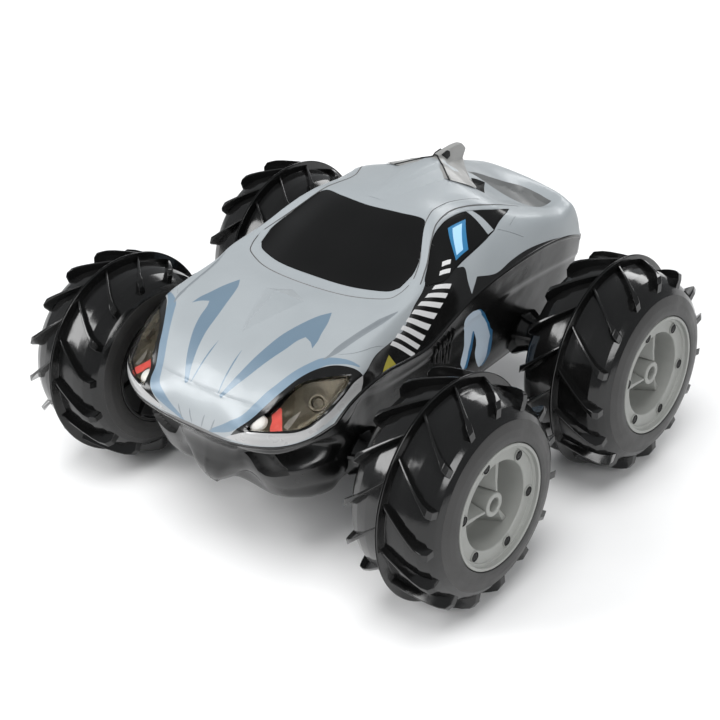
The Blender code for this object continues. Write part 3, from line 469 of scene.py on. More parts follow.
def add_piece(name, mesh, mats, body, smooth=35, wall=0.0):
    """Puts a mesh in the scene, riding on a body."""
    obj = bpy.data.objects.new(name, mesh)
    bpy.context.scene.collection.objects.link(obj)
    for mat in mats:
        mesh.materials.append(mat)
    mesh.shade_smooth()
    mesh.set_sharp_from_angle(angle=math.radians(smooth))
    if wall:
        sides = np.empty(len(mesh.loops), np.int32)
        mesh.loops.foreach_get("edge_index", sides)
        for edge in np.flatnonzero(np.bincount(sides, minlength=len(mesh.edges)) == 1):
            mesh.edges[int(edge)].use_edge_sharp = True
        solid = obj.modifiers.new("wall", "SOLIDIFY")
        solid.thickness = wall
        solid.offset = -1
    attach(obj, body)
    return obj


def add_bevel(obj, width, segments=2, angle=35):
    mod = obj.modifiers.new("bevel", "BEVEL")
    mod.width = width
    mod.segments = segments
    mod.limit_method = "ANGLE"
    mod.angle_limit = math.radians(angle)
    mod.harden_normals = False
    return obj


# ---------------------------------------------------------------- turned and lofted shapes

def from_bmesh(name, bm):
    bmesh.ops.recalc_face_normals(bm, faces=bm.faces)
    mesh = bpy.data.meshes.new(name)
    bm.to_mesh(mesh)
    bm.free()
    return mesh


def turned(name, profile, segments=144, closed=True, slots=None):
    """A profile of (axial, radius) in millimetres, turned about local Z. slots gives each run its slot."""
    bm = bmesh.new()
    rings = []
    for step in range(segments):
        turn = step * 2 * math.pi / segments
        rings.append([bm.verts.new((r * MM * math.cos(turn), r * MM * math.sin(turn), a * MM))
                      for a, r in profile])
    runs = len(profile) if closed else len(profile) - 1
    for step in range(segments):
        here, there = rings[step], rings[(step + 1) % segments]
        for i in range(runs):
            j = (i + 1) % len(profile)
            face = bm.faces.new((here[i], here[j], there[j], there[i]))
            if slots:
                face.material_index = slots(profile[i], profile[j])
    bmesh.ops.remove_doubles(bm, verts=bm.verts, dist=0.001 * MM)
    return from_bmesh(name, bm)


def rounded(profile, steps=4, radius=0.5):
    """The profile with its corners rounded; points are (axial, radius) in millimetres."""
    points = [Vector(p) for p in profile]
    count = len(points)
    out = []
    for k in range(count):
        before, here, after = points[k - 1], points[k], points[(k + 1) % count]
        reach = min(radius, (before - here).length * 0.45, (after - here).length * 0.45)
        a = here + (before - here).normalized() * reach
        b = here + (after - here).normalized() * reach
        for step in range(steps + 1):
            t = step / steps
            out.append(tuple(a.lerp(here, t).lerp(here.lerp(b, t), t)))
    return out


def loft(name, loops, closed_ends=True):
    """Faces between loops of the same number of points."""
    bm = bmesh.new()
    rings = [[bm.verts.new(p) for p in loop] for loop in loops]
    for a, b in zip(rings, rings[1:]):
        for k in range(len(a)):
            m = (k + 1) % len(a)
            bm.faces.new((a[k], a[m], b[m], b[k]))
    if closed_ends:
        bm.faces.new(rings[0])
        bm.faces.new(rings[-1][::-1])
    return from_bmesh(name, bm)


def joined(name, meshes):
    """Several meshes in one, keeping each one's material slots as they are."""
    bm = bmesh.new()
    for mesh, matrix in meshes:
        part = bmesh.new()
        part.from_mesh(mesh)
        part.transform(matrix)
        temp = bpy.data.meshes.new("part")
        part.to_mesh(temp)
        part.free()
        bm.from_mesh(temp)
        bpy.data.meshes.remove(temp)
    mesh = bpy.data.meshes.new(name)
    bm.to_mesh(mesh)
    bm.free()
    return mesh


# ---------------------------------------------------------------- wheels

# Where a paddle is along the half's width: axial place, width and top radius in millimetres
PADDLE = [(0.4, 1.7, 57.8), (6, 1.9, 57.6), (12, 2.1, 57.3), (17, 2.4, 57.0), (20.5, 2.9, 56.6),
          (23.6, 4.8, 55.6), (25.2, 4.4, 52.4)]
BARREL = [(0.75, 59.6), (1.0, 54.4), (6, 54.0), (12, 53.4), (18, 52.1), (23, 49.7), (25.5, 47.4), (27.5, 44.2),
          (28.8, 40), (29.3, 36.6), (29.4, 33.9), (28.9, 33.4), (26.4, 33.4), (26.0, 36.0), (22, 44.0),
          (10, 50.0), (0.2, 51.0), (0.2, 60.0)]
SIDEWALL_FROM = 47.0


def paddles(hand, shift):
    """All the paddles of one half wheel. hand sets which way they sweep; shift turns them all."""
    pieces = []
    for lug in range(LUG_COUNT):
        start = -math.pi / 2 - hand * (LUG_PHASE + shift) + lug * 2 * math.pi / LUG_COUNT
        loops = []
        for axial, width, top in PADDLE:
            turn = start + hand * LUG_SWEEP * axial / 24.0
            foot = max(top - 14.0, 40.5)
            loop = []
            for radius, side in ((foot, -1), (top, -0.86), (top, 0.86), (foot, 1)):
                angle = turn + side * width / 2 / radius
                loop.append((radius * MM * math.cos(angle), radius * MM * math.sin(angle), axial * MM))
            loops.append(loop)
        pieces.append((loft("paddle", loops), Matrix()))
    return joined("paddles", pieces)


def make_tyre_half(name, word, hand, shift, place):
    """The hollow barrel with its shoulder and side wall, and its paddles."""
    def wall_slot(a, b):
        return 1 if max(a[1], b[1]) < SIDEWALL_FROM and a[0] > 24 and b[0] > 24 else 0

    barrel = turned("barrel", rounded(BARREL, 2, 0.35), 160, slots=wall_slot)
    tyre = add_piece(f"{name}_{word}_look", barrel, (TYRE, SIDEWALL), f"wheel_{word}", 28)
    tyre.matrix_world = place
    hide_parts(f"{name}_{word}")
    fins = add_piece(f"{name}_paddles_{word}", paddles(hand, shift), (TYRE,), f"wheel_{word}", 25)
    fins.matrix_world = place
    add_bevel(fins, 0.3 * MM)


RIM_PROFILE = [(27.0, 33.1), (29.0, 33.1), (29.35, 32.8), (29.4, 31.6), (29.1, 31.3), (27.4, 31.2), (27.2, 30.9),
               (27.2, 29.8), (26.2, 29.5), (26.1, 29.2), (26.1, 24.0), (25.7, 23.3), (18.0, 22.2), (9.0, 20.6),
               (7.0, 19.4), (6.2, 17.0), (6.1, 7.2), (6.6, 6.8), (24.7, 6.45), (25.2, 6.0), (25.2, 3.9), (24.7, 3.6),
               (13.0, 3.4), (12.5, 2.6), (4.0, 2.6), (4.0, 18.5), (8.0, 22.0), (22.5, 25.6), (23.0, 30.0), (23.6, 33.1)]
SCREW_RADIUS, SCREW_RING = 2.6, 26.8


def rim_web(turn):
    """A faceted web from the hub's mouth to the bowl's edge, wide at the floor."""
    ridge = [(7.0, 24.6), (12.0, 23.0), (17.5, 21.8), (21.9, 21.0)]
    loops = []
    for radius, top in ridge:
        half = 0.5 + 0.06 * (radius - 6)
        foot = 5.0 + 5.2 * (1 - abs(radius - 14) / 9)
        loops.append([(radius * MM, -foot * MM, 5.8 * MM), (radius * MM, -half * MM, top * MM),
                      (radius * MM, half * MM, top * MM), (radius * MM, foot * MM, 5.8 * MM)])
    mesh = loft("web", loops)
    mesh.transform(Matrix.Rotation(turn, 4, "Z"))
    return mesh


def pan_screw(radius, height, cross=True):
    """A screw's head with a cross of dark bars on top: painted shade standing in for a cross recess."""
    profile = rounded([(0, 0.01), (height, 0.01), (height, radius * 0.55), (height * 0.72, radius * 0.86),
                       (0.2, radius), (0, radius)], 3, 0.25)
    head = turned("head", [(a, max(r, 0.01)) for a, r in profile], 28)
    pieces = [(head, Matrix())]
    if cross:
        for turn in (0, math.pi / 2):
            bar = radius * 0.58 * MM
            thin = radius * 0.13 * MM
            top = (height + 0.02) * MM
            loops = [[(x, -thin, top - 0.5 * MM), (x, thin, top - 0.5 * MM), (x, thin, top), (x, -thin, top)]
                     for x in (-bar, bar)]
            mesh = loft("bar", loops)
            mesh.transform(Matrix.Rotation(turn, 4, "Z"))
            # The bars take the second slot: painted shade for the recess.
            for face in mesh.polygons:
                face.material_index = 1
            pieces.append((mesh, Matrix()))
    return joined("screw", pieces)


def make_rim(word, side, place):
    bm = bmesh.new()
    bm.from_mesh(turned("rim", rounded(RIM_PROFILE, 2, 0.3), 144))
    for face in bm.faces:
        face.material_index = 0
    mesh = bpy.data.meshes.new("rim")
    bm.to_mesh(mesh)
    bm.free()
    webs = [(rim_web(math.radians(-90 + side * (angle - 90))), Matrix()) for angle in (95, 215, 335)]
    rim = add_piece(f"rim_{word}_look", joined("rim", [(mesh, Matrix())] + webs), (RIM,), f"wheel_{word}",
                    30)
    rim.matrix_world = place
    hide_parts(f"rim_{word}")
    pits, heads = [], []
    for k in range(6):
        turn = math.radians(-90 + side * (15 + 60 * k - 90))
        spot = Matrix.Translation((SCREW_RING * MM * math.cos(turn), SCREW_RING * MM * math.sin(turn), 0))
        ring = [(26.0, SCREW_RADIUS + 0.5), (26.75, SCREW_RADIUS + 0.35), (26.75, SCREW_RADIUS), (26.25, 2.4),
                (26.25, 0.01), (26.0, 0.01)]
        # The pocket's inner wall and floor take the second slot: painted shade in the recess.
        pits.append((turned("pit", ring, 40, slots=lambda a, b: 0 if max(a[1], b[1]) > SCREW_RADIUS + 0.02 else 1), spot))
        spin = Matrix.Rotation(0.4 + 1.3 * k, 4, "Z")
        heads.append((pan_screw(1.9, 0.7), spot @ Matrix.Translation((0, 0, 26.2 * MM)) @ spin))
    collars = add_piece(f"rim_screw_pockets_{word}", joined("pits", pits), (RIM, GAP_SHADE_BLACK), f"wheel_{word}")
    collars.matrix_world = place
    screws = add_piece(f"rim_screws_{word}", joined("screws", heads), (SCREW, GAP_SHADE_BLACK), f"wheel_{word}")
    screws.matrix_world = place


def make_inner_hub(word, place):
    """The black plate on the wheel's inner face, with ribs."""
    profile = [(29.2, 33.1), (29.4, 32.4), (29.2, 31.6), (27.6, 31.2), (26.6, 30.6), (24.0, 12.0), (24.6, 9.4),
               (29.6, 8.4), (30.5, 7.6), (30.5, 2.9), (30.0, 2.5), (8.0, 2.5), (8.0, 7.0), (21.8, 9.0),
               (23.0, 13.0), (25.4, 33.1)]
    pieces = [(turned("hub", rounded(profile, 2, 0.3), 128), Matrix())]
    for k in range(8):
        loops = []
        for radius, top in ((8.0, 29.0), (16.0, 27.2), (31.0, 27.6)):
            loops.append([(radius * MM, -0.8 * MM, 23 * MM), (radius * MM, -0.6 * MM, top * MM),
                          (radius * MM, 0.6 * MM, top * MM), (radius * MM, 0.8 * MM, 23 * MM)])
        pieces.append((loft("rib", loops), Matrix.Rotation(k * math.pi / 4, 4, "Z")))
    hub = add_piece(f"inner_hub_{word}_look", joined("hub", pieces), (BLACK,), f"wheel_{word}",
                    30)
    hub.matrix_world = place
    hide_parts(f"inner_hub_{word}")


def make_wheel(side, end):
    word = f"{end}_{'left' if side > 0 else 'right'}"
    centre = (side * RIB_X, -AXLE_Y if end == "front" else AXLE_Y, AXLE_Z)
    outward = Matrix.Translation(centre) @ Matrix.Rotation(side * math.pi / 2, 4, "Y")
    inward = Matrix.Translation(centre) @ Matrix.Rotation(-side * math.pi / 2, 4, "Y")
    make_tyre_half("tyre_outer", word, side, 0.0, outward)
    make_tyre_half("tyre_inner", word, -side, math.pi / LUG_COUNT, inward)
    make_rim(word, side, outward)
    make_inner_hub(word, inward)
    nut = loft("nut", [[(2.9 * MM * math.cos(k * math.pi / 3), 2.9 * MM * math.sin(k * math.pi / 3), a * MM)
                        for k in range(6)] for a in (12.2, 14.6)])
    nut_piece = add_piece(f"axle_nut_{word}", nut, (STEEL,), f"wheel_{word}")
    nut_piece.matrix_world = outward
    add_bevel(nut_piece, 0.25 * MM)


# ---------------------------------------------------------------- stage

def make_stage():
    """A pale flat round floor, seen from any side."""
    reach, rise = 4.0, 0.0
    bm = bmesh.new()
    rings = []
    for radius, height in ((0.0001, rise), (0.6, 0.0), (1.6, 0.0), (reach, 0.0)):
        rings.append([bm.verts.new((radius * math.cos(k * math.pi / 32), radius * math.sin(k * math.pi / 32),
                                    height)) for k in range(64)])
    for a, b in zip(rings, rings[1:]):
        for k in range(64):
            m = (k + 1) % 64
            bm.faces.new((a[k], a[m], b[m], b[k]))
    floor = bpy.data.objects.new("floor", from_bmesh("floor", bm))
    bpy.context.scene.collection.objects.link(floor)
    mat = make_finish("floor_white", (grey(0.80), grey(0.82)), (0.5, 0.6), bumps=((30, 0.0001),))
    floor.data.materials.append(mat)


def add_light(name, place, size, power, target=(0, 0, 0.07)):
    light = bpy.data.lights.new(name, "AREA")
    light.shape = "RECTANGLE"
    light.size, light.size_y = size
    light.energy = power
    obj = bpy.data.objects.new(name, light)
    bpy.context.scene.collection.objects.link(obj)
    obj.location = place
    obj.rotation_euler = (Vector(target) - Vector(place)).to_track_quat("-Z", "Y").to_euler()


def make_lights():
    """A large soft light in front, on the car's right, a weaker one on its left, and an even light from above."""
    scene = bpy.context.scene
    scene.view_settings.view_transform = "Standard"
    world = bpy.data.worlds.new("studio")
    world.use_nodes = True
    world.node_tree.nodes["Background"].inputs["Color"].default_value = (0.94, 0.97, 1.0, 1.0)
    world.node_tree.nodes["Background"].inputs["Strength"].default_value = 0.32
    scene.world = world
    add_light("key", (-0.86, -0.99, 0.96), (0.75, 0.8), 17)
    add_light("left", (1.35, -0.45, 0.85), (0.7, 0.6), 9)
    add_light("rear", (-0.3, 1.5, 0.9), (0.8, 0.5), 7)
    above = bpy.data.lights.new("above", "SUN")
    above.energy = 2.3
    above.angle = math.radians(40)
    lamp = bpy.data.objects.new("above", above)
    scene.collection.objects.link(lamp)
    lamp.rotation_euler = (math.radians(8), math.radians(6), 0)
    lamp.visible_glossy = False


# The photograph's viewpoint
CAMERA_AZIMUTH = math.radians(43.27)
CAMERA_ELEVATION = math.radians(31.38)
CAMERA_ROLL = math.radians(-5.33)
CAMERA_DISTANCE = 0.8907
CAMERA_TARGET = Vector((0.0, -0.0043, 0.0592))
CAMERA_LENS = 78.87


def make_camera():
    back = Vector((math.sin(CAMERA_AZIMUTH) * math.cos(CAMERA_ELEVATION),
                   -math.cos(CAMERA_AZIMUTH) * math.cos(CAMERA_ELEVATION), math.sin(CAMERA_ELEVATION)))
    right = Vector((0, 0, 1)).cross(back).normalized()
    up = back.cross(right)
    across = right * math.cos(CAMERA_ROLL) + up * math.sin(CAMERA_ROLL)
    upward = up * math.cos(CAMERA_ROLL) - right * math.sin(CAMERA_ROLL)
    data = bpy.data.cameras.new("camera")
    data.lens = CAMERA_LENS
    data.sensor_width = 36
    data.clip_start = 0.01
    camera = bpy.data.objects.new("camera", data)
    bpy.context.scene.collection.objects.link(camera)
    turn = Matrix((across, upward, back)).transposed().to_4x4()
    camera.matrix_world = Matrix.Translation(CAMERA_TARGET + back * CAMERA_DISTANCE) @ turn
    bpy.context.scene.camera = camera


# ---------------------------------------------------------------- upper body

def ramp(value, low, high):
    """0 below low, 1 above high, and smooth between."""
    t = np.clip((value - low) / (high - low), 0, 1)
    return t * t * (3 - 2 * t)


def line_gap(u, v, line):
    """Signed distance in v from a line of (u, v) points."""
    us, vs = np.array(line, float).T
    order = np.argsort(us)
    return v - np.interp(u, us[order], vs[order])


def pit(u, v, loop, slope):
    """1 well inside an outline, 0 outside it and a slope between, measured in (u, v)."""
    points = np.stack([u, v], axis=1)
    far = np.full(len(points), 9.0)
    for a, b in zip(loop, np.roll(loop, -1, axis=0)):
        run = b - a
        t = np.clip(((points - a) @ run) / (run @ run), 0, 1)
        far = np.minimum(far, np.linalg.norm(points - a - t[:, None] * run, axis=1))
    return np.where(inside(points, loop), ramp(far, 0.0, slope), 0.0)


FOLD = [(4.24, 2.6), (4.62, 2.78), (5.66, 2.98), (6.6, 3.28)]
# The hood's faceted bulge: its tip, crest and rear, and how fast it widens
BULGE_TIP, BULGE_TOP, BULGE_REAR, BULGE_SPREAD, BULGE_HEIGHT = 4.42, 5.8, 6.3, 0.38, 6.0 * MM
BULGE_LINES = ([(4.42, 0), (5.8, 0)], [(5.8, 0), (6.3, 0)], [(4.42, 0), (6.01, 0.604)], [(4.42, 0), (6.01, -0.604)],
               [(5.8, 0), (6.01, 0.604)], [(5.8, 0), (6.01, -0.604)], [(6.3, 0), (6.01, 0.604)],
               [(6.3, 0), (6.01, -0.604)])
# The sunken leaf on the rear deck; it is also painted darker grey as painted shade of the recess.
DECK = outline([(11.88, 0.84), (12.38, 0.98), (12.9, 1.06), (13.28, 1.3), (13.44, 1.8), (13.42, 2.4)],
               [(13.42, 2.4), (13.1, 2.3), (12.8, 2.1), (12.5, 1.86), (12.2, 1.56), (12.02, 1.26), (11.88, 0.84)])
# The dark opening behind the roof scoop: a shallow pit painted near-black, painted shade standing in for the hole.
SCOOP_HOLE = np.array([(11.72, 1.16), (12.04, 1.36), (11.44, 1.86), (11.3, 1.66), (11.54, 1.3)])
PILLAR_IN = [(7.6, 2.5), (8.28, 2.12), (9.04, 2.02), (9.44, 1.9), (10.0, 1.86), (10.4, 2.0), (10.82, 2.22)]
PILLAR_OUT = [(7.62, 3.1), (8.06, 2.9), (8.82, 2.92), (9.16, 2.72), (9.48, 2.56), (9.84, 2.44), (10.2, 2.5),
              (10.76, 2.64), (11.7, 2.78), (11.94, 2.86)]


def shell_relief(skin, u, v):
    """Heights above the plain skin: hood bulge, side fold, nose crease and the pillar band."""
    w = np.abs(v)
    front = (u - BULGE_TIP - w / BULGE_SPREAD) / (BULGE_TOP - BULGE_TIP)
    rear = (BULGE_REAR - u - 0.48 * w) / (BULGE_REAR - BULGE_TOP)
    height = BULGE_HEIGHT * np.clip(np.minimum(front, rear), 0, 1)
    step = ramp(line_gap(u, w, FOLD), -0.10, 0.10)
    along = ramp(u, 4.3, 5.0) * (1 - ramp(u, 6.2, 6.9)) * (1 - ramp(w, 3.9, 4.4))
    height = height - 0.9 * MM * (step - 0.35) * along
    crease = np.exp(-((u - 2.16) / 0.07) ** 2) * (1 - ramp(w, 1.4, 1.9))
    height = height + 0.35 * MM * crease
    band = ramp(line_gap(u, w, PILLAR_IN), -0.06, 0.06) * (1 - ramp(line_gap(u, w, PILLAR_OUT), -0.06, 0.06))
    reach = ramp(u, 7.7, 8.3) * (1 - ramp(u, 10.5, 11.0))
    leaf = pit(u, w, DECK, 0.1) * ramp(w, 0.8, 1.1)
    return height + 0.5 * MM * band * reach - 2.4 * MM * leaf - 1.6 * MM * pit(u, w, SCOOP_HOLE, 0.08)


SHELL = Skin(both_sides(SHELL_NET), 5, shell_relief, 1)

WINDSCREEN = outline([(7.24, 2.18), (7.54, 2.24), (7.72, 2.26), (8.28, 2.1), (8.9, 2.02)],
                     [(8.9, 2.02), (9.0, 1.8), (9.0, 1.0), (8.97, 0), (9.0, -1.0), (9.0, -1.8), (8.9, -2.02)],
                     [(8.9, -2.02), (8.28, -2.1), (7.72, -2.26), (7.54, -2.24), (7.24, -2.18)],
                     [(7.24, -2.18), (7.06, -1.85), (7.02, -0.9), (7.02, 0), (7.02, 0.9), (7.06, 1.85), (7.24, 2.18)])
COWL = [(7.4, 2.52), (7.12, 2.42), (6.88, 2.2), (6.72, 1.6), (6.67, 0.8), (6.66, 0), (6.67, -0.8), (6.72, -1.6),
        (6.88, -2.2), (7.12, -2.42), (7.4, -2.52)]
WINDOW = outline([(7.66, 3.5), (7.78, 3.2), (8.0, 3.04), (8.3, 2.97), (8.8, 3.0), (9.2, 2.93), (9.54, 2.82), (9.98, 2.78),
                  (10.4, 2.88), (11.4, 3.06)],
                 [(11.4, 3.06), (11.0, 3.42), (10.56, 3.82)],
                 [(10.56, 3.82), (10.16, 3.94), (9.6, 4.0), (8.9, 4.02), (8.2, 3.94), (7.66, 3.5)])
BAR = outline([(10.12, 2.82), (10.22, 3.3), (10.34, 3.86)], [(10.34, 3.86), (10.56, 3.82)],
              [(10.56, 3.82), (10.42, 3.3), (10.28, 2.86)], [(10.28, 2.86), (10.12, 2.82)])
LENS = outline([(1.18, 1.84), (1.7, 2.1), (2.12, 2.42), (2.54, 2.52), (3.1, 2.76), (3.3, 3.3), (3.42, 3.95)],
               [(3.42, 3.95), (3.0, 4.12), (2.38, 4.2), (1.54, 4.1), (1.1, 3.86), (0.98, 3.6), (1.12, 2.96), (1.18, 1.84)])
BROW = outline([(0.5, 1.22), (1.0, 1.46), (1.62, 1.84), (2.2, 2.03), (2.78, 2.16), (3.38, 2.4), (3.78, 2.7), (4.02, 3.12),
                (3.99, 3.54), (3.78, 4.12), (3.66, 4.4)],
               [(3.66, 4.4), (3.04, 4.34), (2.38, 4.42), (1.64, 4.36), (1.22, 4.16), (0.88, 3.88), (0.84, 3.44),
                (1.0, 2.74), (1.02, 1.9), (0.55, 1.3)])
LIP = outline([(3.66, 4.4), (3.04, 4.34), (2.38, 4.42), (1.64, 4.36), (1.22, 4.16), (0.88, 3.88), (0.84, 3.44),
               (1.0, 2.74), (1.02, 1.9), (0.55, 1.3), (0.2, 1.0)],
              [(0.2, 1.0), (0.08, 2.0), (0.06, 3.0), (0.2, 4.04), (1.08, 4.82), (2.82, 5.0)],
              [(2.82, 5.0), (3.3, 4.72), (3.66, 4.4)])
SIDE = outline([(3.66, 4.4), (4.4, 4.32), (4.96, 4.3), (5.64, 4.32), (6.26, 4.3), (6.66, 4.12), (7.0, 3.9), (7.4, 3.6),
                (7.66, 3.36)],
               [(7.66, 3.36), (7.8, 3.17), (8.0, 3.02), (8.3, 2.95), (8.8, 2.98), (9.2, 2.91), (9.54, 2.8), (9.98, 2.76),
                (10.4, 2.86), (11.44, 3.04)],
               [(11.44, 3.04), (11.02, 3.44), (10.56, 3.86)],
               [(10.56, 3.86), (10.16, 3.97), (9.6, 4.04), (8.9, 4.06)],
               [(8.9, 4.06), (9.14, 4.22), (9.06, 4.56), (9.02, 4.92)],
               [(9.02, 4.92), (9.26, 4.76), (9.42, 4.64)],
               [(9.42, 4.64), (10.06, 4.9), (10.66, 4.86), (11.3, 4.84), (11.92, 4.9), (12.76, 5.0)],
               [(12.76, 5.0), (12.76, 5.2)], [(12.76, 5.2), (2.82, 5.2)], [(2.82, 5.2), (2.82, 5.0)],
               [(2.82, 5.0), (3.3, 4.72), (3.66, 4.4)])
STRIPE_OUT = outline([(2.04, 0.6), (2.54, 0.78), (3.14, 1.0), (3.8, 1.21), (4.4, 1.38), (4.78, 1.46), (5.0, 1.56)],
                     [(5.0, 1.56), (4.9, 1.8), (4.72, 2.0)],
                     [(4.72, 2.0), (5.0, 1.94), (5.24, 1.82), (5.6, 1.66), (5.94, 1.46)],
                     [(5.94, 1.46), (5.62, 1.26), (4.82, 1.0), (3.92, 0.86), (2.82, 0.66), (2.14, 0.52)],
                     [(2.14, 0.52), (2.02, 0.62)])
LAMP_LINE = [(0.06, 0.4), (0.36, 0.58), (1.0, 1.18), (1.62, 1.64), (2.18, 1.84), (2.78, 1.96), (3.38, 2.2), (3.86, 2.46),
             (4.2, 2.8), (4.22, 3.4), (4.02, 4.0)]
THIN_LINE = [(2.14, 0.46), (2.6, 0.42), (3.1, 0.4), (3.86, 0.38)]
# A dark-grey band along the nose's lower edge: painted shade of the crease there.
NOSE_SHADE_LINE = [(0.07, -1.2), (0.09, -0.6), (0.09, 0.0), (0.09, 0.6), (0.07, 1.2)]
# A grey band along the side fold: painted shade of the crease.
FOLD_SHADE_BAND = [(4.3, 2.66), (4.62, 2.83), (5.66, 3.03), (6.6, 3.33)]
TICKS = ([(0.22, 0.16), (1.06, 0.26)], [(0.22, 0.48), (1.06, 0.62)])
FINE_LINES = ([(4.58, 3.1), (4.66, 3.5), (4.88, 3.84), (5.34, 4.24)], [(10.72, 3.9), (11.0, 4.16), (11.28, 4.44)],
              [(11.38, 3.58), (11.1, 3.9)])
YELLOW_MARK = [(5.4, 4.6), (4.6, 4.97), (5.5, 4.97)]


def strip(line, width):
    """The outline of a band along a line that tapers to both ends; width is its widest, in metres."""
    line = resampled(spline(line, 6))
    share = np.linspace(0, 1, len(line))
    taper = np.minimum(1, 4 * np.minimum(share, 1 - share) + 0.15)
    near, far = SHELL.shifted(line, width / 2), SHELL.shifted(line, -width / 2)
    near = line + (near - line) * taper[:, None]
    far = line + (far - line) * taper[:, None]
    return np.vstack([near, far[::-1]])


def bars(start, end, count, width0, width1):
    """Slanted bars in a row along a band."""
    shapes = []
    start, end = np.array(start), np.array(end)
    across, run = np.array([0.30, 0.35]), (end - start) / count
    for k in range(count):
        here = start + run * k
        lift = across * (width0 + (width1 - width0) * k / count)
        shapes.append(np.array([here + lift, here + run * BAR_SHARE + lift, here + run * (BAR_SHARE + BAR_SLANT) - lift,
                                here + run * BAR_SLANT - lift]))
    return shapes


BAR_SHARE, BAR_SLANT = 0.52, 0.45


def closed_lines(loops, height=0.0):
    return [(resampled(np.vstack([loop, loop[:1]])), height) for loop in loops]


def make_shell():
    """The silver body with its printed shapes, grooves and openings; painted shade darkens the wider grooves, the side
    fold, the nose's lower edge, the deck's sunken leaf and the hole behind the scoop.
    """
    openings = [WINDSCREEN, LENS, flipped(LENS), WINDOW, flipped(WINDOW)]
    grown = [offset_loop(SHELL, loop, 0.3 * MM) for loop in openings]
    lines = []
    for loop in grown:
        lines += rolled(SHELL, loop, -area_sign(loop))
    painted = []
    grooves = []
    for flip in (np.array, flipped):
        for line in (PILLAR_IN, PILLAR_OUT):
            grooves.append(flip(spline(line, 6)))
        printed = [(flip(SIDE), 1), (flip(strip(LAMP_LINE, 5.6 * MM)), 4), (flip(BROW), 1), (flip(LIP), 2)]
        # The stripes and thin line are print; the fold band is painted shade.
        printed += [(flip(STRIPE_OUT), 3), (flip(strip(THIN_LINE, 0.9 * MM)), 3), (flip(strip(FOLD_SHADE_BAND, 3.2 * MM)), 5)]
        # Painted shade: the deck's sunken leaf in dark grey and the hole behind the scoop in near-black.
        printed += [(flip(DECK), 9), (flip(SCOOP_HOLE), 10)]
        printed += [(flip(strip(tick, 0.9 * MM)), 5) for tick in TICKS]
        printed += [(flip(shape), 6) for shape in bars((8.2, 3.98), (5.9, 4.72), 8, 0.7, 1.0)]
        printed += [(flip(np.array(YELLOW_MARK)), 7)]
        painted += printed
    # The nose's lower edge band is painted shade.
    painted.append((strip(NOSE_SHADE_LINE, 1.6 * MM), 8))
    grooves.append(spline(COWL, 6))
    for flip in (np.array, flipped):
        for line in FINE_LINES:
            grooves.append(flip(spline(line, 6)))
    lines += closed_lines([loop for loop, _ in painted])
    lines += [(resampled(np.array(line)), 0.0) for line in BULGE_LINES]
    # The wider grooves are painted dark grey as painted shade; the fine ones keep the silver.
    for k, line in enumerate(grooves):
        fine = k >= len(grooves) - 2 * len(FINE_LINES)
        drawn, loop = groove(SHELL, line, 0.22 * MM if fine else 0.35 * MM, 0.3 * MM if fine else 0.5 * MM)
        lines += drawn
        painted.append((loop, 8 if not fine else 0))

    def keep(centres):
        hidden = np.zeros(len(centres), bool)
        for loop in grown:
            hidden |= inside(centres, loop)
        return ~hidden

    mesh = skin_mesh("shell", SHELL, (0, 15, -5, 5), (200, 130), lines, keep, painted)
    mats = (SILVER, BLACK, TRIM, STRIPE, PALE_STRIPE, TICK_AND_FOLD_SHADE_GREY, PRINT_WHITE, PRINT_YELLOW, GROOVE_SHADE_GREY,
            DECK_SHADE_GREY, GAP_SHADE_BLACK)
    shell = add_piece("upper_shell_look", mesh, mats, "chassis", 23, WALL)
    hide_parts("upper_shell")


WALL = 1.8 * MM
# Blue-grey for the printed ticks, and painted shade along the side fold.
TICK_AND_FOLD_SHADE_GREY = make_finish("tick_print_and_fold_shade", ((0.17, 0.19, 0.205), (0.20, 0.22, 0.235)), (0.32, 0.4), 0.1, 0.3)
# Painted shade for the deck's sunken leaf.
DECK_SHADE_GREY = make_finish("deck_painted_shade", ((0.12, 0.125, 0.125), (0.16, 0.165, 0.165)), (0.34, 0.44))
# Painted shade for the grooves and the nose's lower edge.
GROOVE_SHADE_GREY = make_finish("groove_painted_shade", (grey(0.12), grey(0.16)), (0.5, 0.6))


def make_pane(name, node, loop, mats, finishes=(), sink=0.15 * MM):
    """A pane that fills an opening of the shell."""
    low, high = loop.min(axis=0) - 0.05, loop.max(axis=0) + 0.05
    cells = tuple(np.maximum(((high - low) * 13).astype(int), 4))
    lines = closed_lines([loop] + [shape for shape, _ in finishes])

    mesh = skin_mesh(name, SHELL, (low[0], high[0], low[1], high[1]), cells, lines,
                     lambda centres: inside(centres, loop), finishes, 0, -sink)
    pane = add_piece(name, mesh, mats, "chassis", 40, 1.6 * MM)
    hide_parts(node)


def make_panes():
    make_pane("windscreen_look", "windscreen", WINDSCREEN, (WINDOW_GLOSS,))
    shade = np.array([(9.0, 3.9), (9.55, 3.9), (9.95, 3.12), (9.4, 3.12)])
    band = np.array([(9.12, 3.82), (9.4, 3.82), (9.8, 3.2), (9.5, 3.2)])
    for word, flip in (("left", np.array), ("right", flipped)):
        prints = [(flip(shade), 2), (flip(band), 3)]
        prints += [(flip(shape), 4) for shape in bars((8.78, 3.66), (8.3, 3.84), 2, 0.35, 0.6)]
        prints.append((flip(BAR), 1))
        make_pane(f"side_window_{word}_look", f"side_window_{word}", flip(WINDOW),
                  (WINDOW_GLOSS, SILVER, PRINT_BLUE, PRINT_SKY, PRINT_WHITE), prints, 0.05 * MM)
        make_pane(f"headlight_lens_{word}_look", f"headlight_lens_{word}", flip(LENS), (LENS_CLEAR,),
                  (), 0.1 * MM)


# ---------------------------------------------------------------- hull

